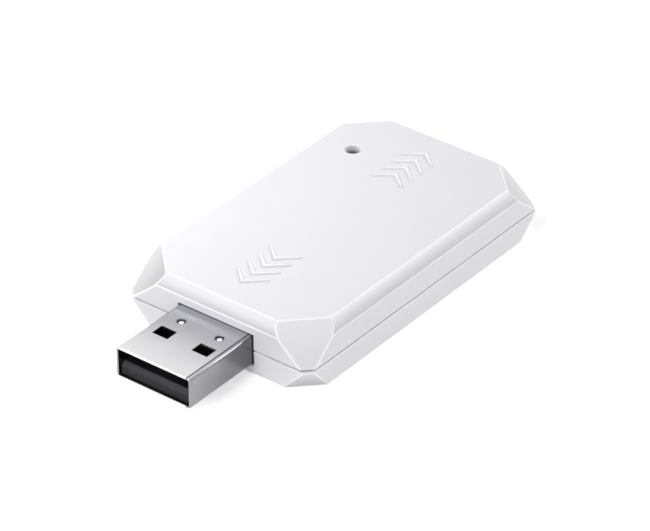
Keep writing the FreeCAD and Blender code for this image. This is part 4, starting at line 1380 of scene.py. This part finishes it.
@dataclass
class TopCover(Housing):
    """The upper cover, with its rounded shoulder band, slanted corners and chevrons."""

    shoulder: float = 7.15
    shoulder_round: float = 0.1
    ledge: float = 0.15
    side_draft: float = 0.06
    crown: float = 8.85
    crown_run: float = 1.24
    crown_radius: float = 2.8667
    crown_round: float = 0.4
    crown_foot: float = 0.8
    band_strips: int = 14
    corner_lean: float = 1.19118
    ceiling: float = 7.65
    ceiling_sum: float = 31.594
    pin_hole: Pair = (0.65, 1.1)
    pin_hole_lead: float = 0.2
    lamp: Pair = (-8.6, 14.7)
    lamp_radius: float = 1.05
    lamp_round: float = 0.3
    lamp_strips: int = 8
    lamp_wall: float = 0.75
    lamp_foot: float = 4.5
    lamp_past: float = 0.5
    rib_side: float = 3.0
    rib_half: float = 0.5
    rib_foot: float = 6.0
    rib_top: float = 7.9
    chevron_apex: float = 20.2
    chevron_pitch: float = 2.22
    chevron_count: int = 4

    def rounds(self) -> dict[float, float]:
        """The radii of the level edges, by their height."""
        return {self.shoulder: self.shoulder_round, self.rim: self.rim_round,
                self.crown: self.crown_round}

    def band_points(self) -> list[Pair]:
        """Points of the convex shoulder band.

        Returns:
            Pairs of the inset from the full size and the height, from the shoulder up.
        """
        start = Vector((self.side_draft + self.ledge, self.shoulder))
        end = Vector((self.side_draft + self.crown_run, self.crown))
        chord = end - start
        reach = math.sqrt(self.crown_radius ** 2 - chord.length_squared / 4)
        centre = (start + end) / 2 + Vector((chord.y, -chord.x)).normalized() * reach
        first, last = (math.atan2(point.y - centre.y, point.x - centre.x) % math.tau
                       for point in (start, end))
        angles = [first + (last - first) * number / self.band_strips
                  for number in range(self.band_strips + 1)]
        return [(centre.x + self.crown_radius * math.cos(angle),
                 centre.y + self.crown_radius * math.sin(angle)) for angle in angles]

    def wall_form(self) -> Form:
        """The outside up to the shoulder, as a solid block with creased edges.

        Returns:
            The form.
        """
        form = self.slab(0.0, self.rim, self.shoulder)
        self.trim_sides(form, (self.side_draft, self.shoulder),
                        (self.shoulder - self.rim, self.side_draft))
        form.trim_corners(self.corner_sum, self.seam, self.corner_lean)
        return form

    def crown_form(self) -> Form:
        """The shoulder band and the top, as a solid block with creased edges.

        Returns:
            The form.
        """
        form = self.slab(0.0, self.shoulder - self.crown_foot, self.crown)
        points = self.band_points()
        for (inset, height), (next_inset, next_height) in zip(points, points[1:]):
            self.trim_sides(form, (inset, height), (next_height - height, next_inset - inset))
        form.trim_corners(self.corner_sum, self.seam, self.corner_lean)
        form.merge(LEVEL)
        form.drop_slivers(LEVEL)
        return form

    def lamp_bore(self) -> Form:
        """The lamp's bore, which flares at the top.

        Returns:
            The form.
        """
        profile = [(0, self.lamp_foot - self.lamp_past),
                   (self.lamp_radius, self.lamp_foot - self.lamp_past)]
        for number in range(self.lamp_strips + 1):
            angle = math.pi / 2 * number / self.lamp_strips
            profile.append((self.lamp_radius + self.lamp_round * (1 - math.cos(angle)),
                            self.crown - self.lamp_round * (1 - math.sin(angle))))
        profile += [(self.lamp_radius + self.lamp_round, self.crown + self.lamp_past),
                    (0, self.crown + self.lamp_past)]
        return Form.turned(profile, (*self.lamp, 0.0))

    def build(self) -> bpy.types.Object:
        """Builds the cover.

        Returns:
            The piece, in millimetres.
        """
        walls, crown = self.wall_form(), self.crown_form()
        for form in (walls, crown):
            form.round_creases(self.edge_radius)
        piece = walls.to_object("top_cover_dressed")
        combine(piece, crown, Join.ADD)
        combine(piece, self.cavity(self.ceiling, self.ceiling_sum), Join.CUT)
        rabbet_sum = self.cavity_sum + (self.lip_width + self.lip_clearance) * math.sqrt(2)
        combine(piece, self.octagon(self.skin, rabbet_sum, self.rim - self.past, self.lip_top),
                Join.CUT)
        combine(piece, self.aperture(self.rim - self.past, self.plug_high), Join.CUT)

        root = self.ceiling + self.sunk
        radius, depth = self.pin_hole
        for place in self.posts(*self.pinned_posts):
            combine(piece, Form.post(place, self.post_radius, self.board_top, root), Join.ADD)
            combine(piece, Form.post(place, radius, self.board_top - self.pin_hole_lead,
                                     self.board_top + depth), Join.CUT)
        combine(piece, Form.post(self.lamp, self.lamp_radius + self.lamp_wall, self.lamp_foot,
                                 root), Join.ADD)
        combine(piece, self.lamp_bore(), Join.CUT)
        start, stop = self.plug_support
        for side in (self.rib_side, -self.rib_side):
            combine(piece, Form.block((side - self.rib_half, start, self.rib_foot),
                                      (side + self.rib_half, stop, self.rib_top)), Join.ADD)
        chevron = Chevron()
        for number in range(self.chevron_count):
            for front in (False, True):
                apex = self.chevron_apex - number * self.chevron_pitch
                combine(piece, chevron.form(apex, self.crown, front), Join.ADD)
        return piece


@dataclass
class BottomCover(Housing):
    """The lower cover, with its flat underside, inner lip, posts and plug saddle."""

    turn: int = -1
    edge_round: float = 0.3
    foot_inset: float = 0.17
    corner_strip: float = 0.3
    corner_lean: float = 0.9926
    base_wall: float = 1.2
    base_sum: float = 34.286
    lip_root: float = 0.4
    hollow_root: float = 0.5
    rear_post: float = 18.6
    pin_radius: float = 0.55
    pin_top: float = 4.5
    saddle_half: float = 4.0
    saddle_top: float = 1.5

    def skin_form(self) -> Form:
        """The outside, as a solid block with creased edges.

        Returns:
            The form.
        """
        form = self.slab(0.0, 0.0, self.rim)
        self.trim_sides(form, (self.foot_inset, 0), (self.rim, -self.foot_inset))
        form.trim_corners(self.corner_sum, self.rim, 0.0)
        form.trim_corners(self.corner_sum, self.rim - self.corner_strip, -self.corner_lean)
        return form

    def build(self) -> bpy.types.Object:
        """Builds the cover.

        Returns:
            The piece, in millimetres.
        """
        skin = self.skin_form()
        skin.round_creases(self.edge_radius)
        piece = skin.to_object("bottom_cover_dressed")
        combine(piece, self.cavity(self.base_wall, self.base_sum), Join.CUT)
        lip_sum = self.cavity_sum + self.lip_width * math.sqrt(2)
        combine(piece, self.octagon(self.skin + self.lip_clearance, lip_sum,
                                    self.rim - self.lip_root, self.lip_top), Join.ADD)
        combine(piece, self.octagon(self.wall, self.cavity_sum, self.rim - self.hollow_root,
                                    self.lip_top + self.past), Join.CUT)
        combine(piece, self.aperture(self.plug_low, self.seam + 2 * self.past), Join.CUT)

        root = self.base_wall - self.sunk
        for place in self.posts(*self.pinned_posts, self.rear_post):
            combine(piece, Form.post(place, self.post_radius, root, self.board_bottom), Join.ADD)
            if place[1] != self.rear_post:
                combine(piece, Form.post(place, self.pin_radius, self.board_bottom - self.sunk,
                                         self.pin_top), Join.ADD)
        start, stop = self.plug_support
        combine(piece, Form.block((-self.saddle_half, start, root),
                                  (self.saddle_half, stop, self.saddle_top)), Join.ADD)
        return piece


@dataclass
class PlugShell:
    """The folded steel shell of the plug, in millimetres."""

    half_width: float = 6.0
    low: float = 1.5
    high: float = 6.0
    mouth: float = -37.3
    end: float = -18.5
    corner: float = 0.5
    corner_strips: int = 10
    sheet: float = 0.3
    past: float = 0.5
    end_on: float = 0.9
    cut_angle: float = 60.0
    mouth_reach: float = 1e-3
    mouth_round: float = 0.09
    window_side: float = 1.95
    window_width: float = 2.5
    window_front: float = -32.15
    window_length: float = 1.95
    window_corner: float = 0.12
    dimple_side: float = 3.1
    dimple_station: float = -28.0
    dimple_radius: float = 0.62
    dimple_depth: float = 0.2
    dimple_steps: int = 40
    dish_round: float = 0.22
    dish_strips: int = 7
    dish_power: float = 0.8
    boss: tuple[Pair, ...] = ((0.0, -0.4), (0.32, -0.4), (0.5, -0.32), (0.5, -0.15), (0.0, -0.15))
    ear_span: Pair = (-0.15, 1.7)
    ear_length: Pair = (3.0, 1.0)
    ear_heights: Pair = (3.5, 3.8)
    fold_half: float = 0.05
    fold_depth: float = 0.15
    divide_x: float = 0.02
    divide_window: float = 0.48
    divide_dimple: float = 0.03

    def tube(self) -> Form:
        """The folded tube, open at both ends.

        Returns:
            The form.
        """
        form = Form.block((-self.half_width, self.mouth, self.low),
                          (self.half_width, self.end, self.high))
        form.bevel(lambda edge: runs_along(edge, Y), self.corner, self.corner_strips)
        ends = [face for face in form.bm.faces if abs(face.normal.y) > self.end_on]
        bmesh.ops.delete(form.bm, geom=ends, context="FACES_ONLY")
        return form

    def thicken(self, piece: bpy.types.Object) -> None:
        """Gives the tube its sheet, inwards.

        Args:
            piece: The tube.
        """
        wall = piece.modifiers.new("sheet", "SOLIDIFY")
        wall.thickness = self.sheet
        wall.offset = -1.0
        wall.use_even_offset = True
        settle(piece)

    def soften_mouth(self, piece: bpy.types.Object) -> None:
        """Rounds the cut edges at the mouth."""
        with reshaping(piece) as form:
            form.bevel(lambda edge: steepness(edge) > self.cut_angle and all(
                abs(vert.co.y - self.mouth) < self.mouth_reach for vert in edge.verts),
                self.mouth_round)

    def divide(self, piece: bpy.types.Object) -> None:
        """Divides the flat faces across the windows and dimples, so that no face has a hole.

        Args:
            piece: The shell.
        """
        across_window = self.window_front + self.window_length * self.divide_window
        with reshaping(piece) as form:
            for point, outward in (((self.divide_x, 0, 0), X), ((0, across_window, 0), Y),
                                   ((0, self.dimple_station - self.divide_dimple, 0), Y)):
                bmesh.ops.bisect_plane(form.bm, geom=form.everything, plane_co=point,
                                       plane_no=outward)

    def window(self, sign: int) -> Form:
        """The form that opens one of the windows, with rounded corners.

        Args:
            sign: 1 for the right one, -1 for the left one.

        Returns:
            The form.
        """
        form = Form.block(
            (sign * self.window_side, self.window_front, self.low - self.past),
            (sign * (self.window_side + self.window_width),
             self.window_front + self.window_length, self.high + self.past))
        form.bevel(lambda edge: runs_along(edge, Z), self.window_corner)
        return form

    def dish(self, axis: Point) -> Form:
        """The hollow of a dimple.

        Args:
            axis: A point on its axis, at the sheet's outside.

        Returns:
            The form.
        """
        profile = [(0, -self.dimple_depth)]
        for number in range(1, self.dish_strips):
            angle = math.pi / 2 * number / self.dish_strips
            profile.append((self.dimple_radius - self.dish_round * (1 - math.sin(angle)),
                            -self.dimple_depth * math.cos(angle) ** self.dish_power))
        profile += [(self.dimple_radius, 0.0), (self.dimple_radius, self.sheet), (0, self.sheet)]
        return Form.turned(profile, axis, self.dimple_steps)

    def ear(self, sign: int) -> Form:
        """The ear on one side, inside the housing."""
        (inner, outer), (front, back), (low, high) = (self.ear_span, self.ear_length,
                                                      self.ear_heights)
        return Form.block((sign * (self.half_width + inner), self.end - front, low),
                          (sign * (self.half_width + outer), self.end - back, high))

    def build(self) -> bpy.types.Object:
        """Builds the shell.

        Returns:
            The piece, in millimetres.
        """
        piece = self.tube().to_object("plug_shell_dressed")
        self.thicken(piece)
        self.soften_mouth(piece)
        self.divide(piece)
        for sign in (1, -1):
            combine(piece, self.window(sign), Join.CUT)
            axis = (sign * self.dimple_side, self.dimple_station, self.high)
            combine(piece, Form.turned(self.boss, axis, self.dimple_steps), Join.ADD)
            combine(piece, self.dish(axis), Join.CUT)
            combine(piece, self.ear(sign), Join.ADD)
        combine(piece, Form.block((-self.fold_half, self.mouth - self.past, self.low - self.past),
                                  (self.fold_half, self.end + self.past,
                                   self.low + self.fold_depth)), Join.CUT)
        return piece


@dataclass
class PlugInsulator:
    """The plug's dark tongue and the block behind it, in millimetres."""

    side: float = 5.65
    low: float = 1.8
    high: float = 5.65
    mouth: float = -37.3
    tongue_front: float = -36.9
    tongue_top: float = 3.64
    tongue_round: float = 0.12
    crease_angle: float = 30.0
    chamfer: float = 0.65
    block_face: float = -28.7
    block_foot: float = 0.5
    block_round: float = 0.35
    end: float = -18.5
    contacts: tuple[Pair, ...] = ((3.5, 2.75), (-3.5, 2.75), (1.0, 3.5), (-1.0, 3.5))
    groove_half: float = 0.52
    groove_low: float = 3.5
    groove_high: float = 3.77
    past: float = 1.0

    def tongue(self) -> Form:
        """The tongue, chamfered at the mouth.

        Returns:
            The form.
        """
        form = Form.block((-self.side, self.tongue_front, self.low),
                          (self.side, self.end, self.tongue_top))
        form.trim((0, self.tongue_front + self.chamfer, self.tongue_top), (0, -1, 1))
        form.bevel(lambda edge: steepness(edge) > self.crease_angle, self.tongue_round)
        return form

    def block(self) -> Form:
        """The block behind the tongue, rounded at its top."""
        form = Form.block((-self.side, self.block_face, self.low + self.block_foot),
                          (self.side, self.end, self.high))
        form.bevel(lambda edge: level_at(edge, self.high), self.block_round, 4)
        return form

    def build(self) -> bpy.types.Object:
        """Builds the insulator.

        Returns:
            The piece, in millimetres.
        """
        piece = self.tongue().to_object("plug_insulator_dressed")
        combine(piece, self.block(), Join.ADD)
        for centre, setback in self.contacts:
            combine(piece, Form.block(
                (centre - self.groove_half, self.mouth + setback, self.groove_low),
                (centre + self.groove_half, self.end + self.past, self.groove_high)), Join.CUT)
        return piece


@dataclass
class Electronics:
    """The solids inside the housing, which keep their own shapes and get their finishes."""

    lead_reach: float = 0.0008
    flat_reach: float = -0.001
    top_depth: float = 3e-5
    lid_rise: float = 0.0004
    lamp_end: float = 0.0003
    contacts: tuple[str, ...] = ("power", "data_minus", "data_plus", "ground")
    chips: tuple[str, ...] = ("interface_chip", "voltage_regulator", "esd_diode")
    flat_chips: tuple[str, ...] = ("radio_chip", "radio_flash_chip")
    tinned: tuple[str, ...] = ("radio_shield_can", "interface_crystal", "radio_crystal")
    small_parts: tuple[str, ...] = (
        "led_resistor", "crystal_load_capacitor_1", "crystal_load_capacitor_2",
        *(f"chip_{kind}_{number}" for kind in ("resistor", "capacitor") for number in range(1, 5)),
        "radio_capacitor_1", "radio_capacitor_2", "bulk_capacitor", "regulator_input_capacitor",
        "regulator_output_capacitor", "ferrite_bead", "resettable_fuse")

    @staticmethod
    def looks(node: str) -> tuple[Colour, Colour, Colour, float]:
        """Picks the colours of a two-terminal part by the first word that its name has.

        Args:
            node: The part's name.

        Returns:
            Its body's colour and shade, its top's colour and half of its stripe's width.
        """
        amber, amber_shade = (0.62, 0.38, 0.1), (0.56, 0.33, 0.08)
        kinds = {
            "bulk": (amber, amber_shade, amber, 0.0003),
            "regulator": (amber, amber_shade, amber, 0.0002),
            "ferrite": ((0.11, 0.11, 0.12), (0.08, 0.08, 0.09), (0.11, 0.11, 0.12), 0.0),
            "fuse": ((0.05, 0.16, 0.1), (0.04, 0.12, 0.08), (0.05, 0.16, 0.1), 0.0),
            "resistor": ((0.75, 0.74, 0.71), (0.69, 0.68, 0.65), (0.03, 0.03, 0.035), 0.0),
            "capacitor": ((0.5, 0.34, 0.2), (0.43, 0.29, 0.17), (0.5, 0.34, 0.2), 0.0)}
        return next(look for kind, look in kinds.items() if kind in node)

    def small_part(self, node: str) -> SmallPart:
        """Fits the finish of a two-terminal part to its place.

        Args:
            node: The part's name.

        Returns:
            The finish.
        """
        low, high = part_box(node)
        size = high - low
        axis = Axis.ACROSS if size.x > size.y else Axis.ALONG
        number = axis.value
        return SmallPart(f"{node}_finish", axis, (low[number] + high[number]) / 2,
                         size[number] / 2, high.z - self.top_depth, *self.looks(node))

    def chip(self, node: str) -> MouldedChip:
        """Fits the finish of a chip to its place; a flat chip's leads don't show.

        Args:
            node: The chip's name.

        Returns:
            The finish.
        """
        low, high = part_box(node)
        reach = self.lead_reach if node in self.chips else self.flat_reach
        return MouldedChip(f"{node}_finish", (low.y + high.y) / 2, (high.y - low.y) / 2 - reach)

    def lamp(self, node: str) -> LampLens:
        """Fits the finish of the lamp to its place.

        Args:
            node: The lamp's name.

        Returns:
            The finish.
        """
        low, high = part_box(node)
        return LampLens("lamp_lens", (0.2, 0.2, 0.21), (0.72, 0.72, 0.7), low.z + self.lid_rise,
                        (low.x + high.x) / 2, (high.x - low.x) / 2 - self.lamp_end)

    def build(self) -> None:
        """Dresses every inner solid."""
        gold = SheetMetal("contact_gilding", (0.85, 0.62, 0.26), (0.8, 0.56, 0.22), 0.15)
        tin = SheetMetal("tinned_sheet", (0.68, 0.68, 0.67), (0.62, 0.62, 0.61), 0.23)
        finishes = {
            **{f"plug_contact_{contact}": gold for contact in self.contacts},
            **{node: self.small_part(node) for node in self.small_parts},
            **{node: self.chip(node) for node in self.chips + self.flat_chips},
            "main_board": BoardLaminate(
                "green_board", (0.012, 0.13, 0.06), (0.03, 0.22, 0.1), 0.003, 0.00047),
            "radio_module_board": BoardLaminate(
                "black_module_board", (0.012, 0.014, 0.02), (0.03, 0.034, 0.045), 0.0039,
                0.00037, pads=True),
            **{node: tin for node in self.tinned},
            "radio_antenna_trace": SheetMetal(
                "gilt_trace", (0.83, 0.6, 0.28), (0.78, 0.53, 0.23), 0.23),
            "status_led": self.lamp("status_led")}
        made = {finish: finish.material() for finish in dict.fromkeys(finishes.values())}
        for node, finish in finishes.items():
            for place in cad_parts[node].material_slots:
                place.material = made[finish]
            LOG.info("%s: %s", node, finish.name)


# The studio


@dataclass(frozen=True)
class Softbox:
    """A soft square lamp, in metres and watts."""

    name: str
    place: Point
    size: float
    watts: float


@dataclass
class Studio:
    """The camera, the floor, the lamps and the backdrop, in metres and degrees."""

    softboxes: tuple[Softbox, ...] = (
        Softbox("near_left_lamp", (-0.06, -0.018, 0.075), 0.03, 0.036),
        Softbox("rear_softbox", (0.155, 0.232, 0.211), 0.1, 0.33),
        Softbox("low_rear_softbox", (0.221, 0.232, 0.14), 0.1, 0.06),
        Softbox("back_softbox", (-0.088, 0.322, 0.105), 0.12, 0.12),
        Softbox("front_softbox", (0.0, -0.24, 0.22), 0.13, 0.42),
        Softbox("low_front_softbox", (0.03, -0.26, 0.07), 0.1, 0.075),
        Softbox("left_front_softbox", (-0.181, -0.088, 0.286), 0.13, 0.17))
    lamps_aim: Point = (0.0, 0.0, 0.006)
    ambient: float = 0.01
    right_side: float = 0.84
    side_span: Pair = (0.2, 0.9)

    floor_half: float = 3.0
    floor_depth: float = 0.00002
    floor_lift: float = 0.45
    floor_colour: Colour = (0.9, 0.9, 0.9)
    floor_speckle: Colour = (0.91, 0.91, 0.91)

    azimuth: float = 37.86
    elevation: float = 33.18
    distance: float = 0.5041
    aim_right: float = -0.001507
    aim_up: float = -0.002112
    aim_height: float = 0.00375
    sensor: float = 36.0
    focal_share: float = 3852.7 / 650
    clip: Pair = (0.01, 20.0)

    def directions(self) -> tuple[Vector, Vector, Vector]:
        """The camera's directions.

        Returns:
            Towards the camera, its right and its up.
        """
        a, e = math.radians(self.azimuth), math.radians(self.elevation)
        back = Vector((math.sin(a) * math.cos(e), -math.cos(a) * math.cos(e), math.sin(e)))
        right = Vector((math.cos(a), math.sin(a), 0))
        return back, right, back.cross(right)

    @staticmethod
    def place(name: str, data: bpy.types.ID, location: Point,
              turn: Quaternion) -> bpy.types.Object:
        """Puts a camera or a lamp into the scene.

        Args:
            name: Its name.
            data: Its settings.
            location: Where it is.
            turn: How it is turned.

        Returns:
            The new object.
        """
        item = bpy.data.objects.new(name, data)
        item.location = location
        item.rotation_mode = "QUATERNION"
        item.rotation_quaternion = turn
        bpy.context.scene.collection.objects.link(item)
        return item

    def camera(self) -> None:
        """Sets the camera at the photograph's angle."""
        back, right, up = self.directions()
        data = bpy.data.cameras.new("camera")
        data.sensor_width = self.sensor
        data.lens = self.sensor * self.focal_share
        data.clip_start, data.clip_end = self.clip
        location = (back * self.distance + right * self.aim_right + up * self.aim_up
                    + Vector((0, 0, self.aim_height)))
        bpy.context.scene.camera = self.place("camera", data, location,
                                              (-back).to_track_quat("-Z", "Y"))

    def lamps(self) -> None:
        """Sets the soft lamps, which face the object."""
        for box in self.softboxes:
            data = bpy.data.lights.new(box.name, "AREA")
            data.shape = "RECTANGLE"
            data.size = data.size_y = box.size
            data.energy = box.watts
            facing = (Vector(self.lamps_aim) - Vector(box.place)).normalized()
            side = facing.cross(Vector(Y)).normalized()
            turn = Matrix((side, facing.cross(side).normalized() * -1, facing * -1)).transposed()
            self.place(box.name, data, box.place, turn.to_quaternion())

    def backdrop(self) -> None:
        """Sets the world: white to the eye, brighter on the right for what it lights."""
        world = bpy.data.worlds.new("studio")
        bpy.context.scene.world = world
        world.use_nodes = True
        wires = Wiring(world.node_tree)
        across, _, _ = wires.parts(wires.add("TexCoord").outputs["Generated"])
        light = wires.spread(across, *self.side_span, self.ambient, self.right_side)
        seen = wires.seen()
        ground = world.node_tree.nodes["Background"]
        wires.put(ground, "Color", (1.0, 1.0, 1.0))
        wires.put(ground, "Strength", wires.plus(seen, wires.times(wires.rest(seen), light)))

    def floor(self) -> None:
        """Lays the floor under the object."""
        form = Form()
        bmesh.ops.create_grid(form.bm, x_segments=4, y_segments=4, size=self.floor_half)
        floor = form.to_object("floor")
        floor.data.transform(Matrix.Translation((0, 0, -self.floor_depth)))
        floor.data.materials[0] = StudioFloor("pale_floor", self.floor_colour,
                                              self.floor_speckle, self.floor_lift).material()
        floor.data.materials.pop(index=1)

    def set_up(self) -> None:
        """Builds the whole studio."""
        bpy.context.scene.view_settings.view_transform = "Standard"
        self.camera()
        self.floor()
        self.backdrop()
        self.lamps()


# The finishes of the stick's own pieces, in metres

# Painted shade darkens the lower cover's slanted corner facets, most at the bottom
WHITE = MouldedPlastic(
    "white_cover_plastic", (0.8, 0.794, 0.826), (0.792, 0.786, 0.818),
    facets=PaintedFacetShade(lean=-0.9926, total=0.0355, low=0.0, high=0.0034, low_share=0.28,
                     high_share=0.16))
# Painted shade: on the chevrons' flanks, deep in the lamp's bore, low on the slanted corner
# facets, at the foot of the shoulder band, and across the left front and right rear facets
UPPER_WHITE = replace(
    WHITE, name="white_upper_plastic", painted_flank_heights=(0.008955, 0.000093),
    bore=PaintedBoreShade(x=-0.0086, y=0.0147, radius=0.0012, until=0.0072, fade=0.0011),
    facets=PaintedFacetShade(
        lean=1.1912, total=0.043317, low=0.004, high=0.0088, low_share=0.1, high_share=0.0,
        band_foot=0.00717, band_top=0.0084, band_share=0.18, grades=(
            PaintedShadeGrade(-1, -1, Axis.ACROSS, start=0.0095, stop=0.015, first=0.38, last=0.115),
            PaintedShadeGrade(1, 1, Axis.ALONG, start=0.0195, stop=0.0245, first=0.17, last=0.0))))
# Painted highlight: the covers' rounded edges and the chevrons' crests take this lighter, glossier
# white
EDGE_HIGHLIGHT_WHITE = MouldedPlastic("white_cover_edge_highlight", (0.95, 0.945, 0.98), (0.94, 0.935, 0.97),
                            rough=(0.23, 0.29))
STEEL = PlatedSteel("plated_steel", (0.72, 0.72, 0.745), (0.4, 0.4, 0.43))
# Painted shade below 2.9 mm high, over the tongue's front, and from 3.6 to 5.6 mm high, over the
# tongue's top and the block's face
BLACK = MouldedPlastic(
    "dark_insulator_plastic", (0.05, 0.051, 0.058), (0.042, 0.043, 0.049), rough=(0.47, 0.53),
    ior=1.3, painted_shade_colour=(0.012, 0.012, 0.014), painted_flank_shade=(0.008, 0.008, 0.009), painted_flank_heights=(0.0046, 0.001),
    bore=PaintedBoreShade(x=0.0, y=-0.0373, radius=0.02, until=0.0029, fade=0.0002))


def main() -> None:
    """Builds the pieces in order, then the studio."""
    logging.basicConfig(level=logging.INFO, format="%(name)s: %(message)s")
    # The lighter edge material, a painted highlight
    wear_and_highlight = EDGE_HIGHLIGHT_WHITE.material()
    for piece, finish, slot, node, edges in (
            (TopCover(), UPPER_WHITE, "cover_plastic", "top_cover", wear_and_highlight),
            (BottomCover(), WHITE, "cover_plastic", "bottom_cover", wear_and_highlight),
            (PlugShell(), STEEL, "plug_steel", "plug_shell", None),
            (PlugInsulator(), BLACK, "insulator_plastic", "plug_insulator", None)):
        finish_piece(piece.build(), finish.material(), node, edges)
    Electronics().build()
    Studio().set_up()


if __name__ == "__main__":
    main()
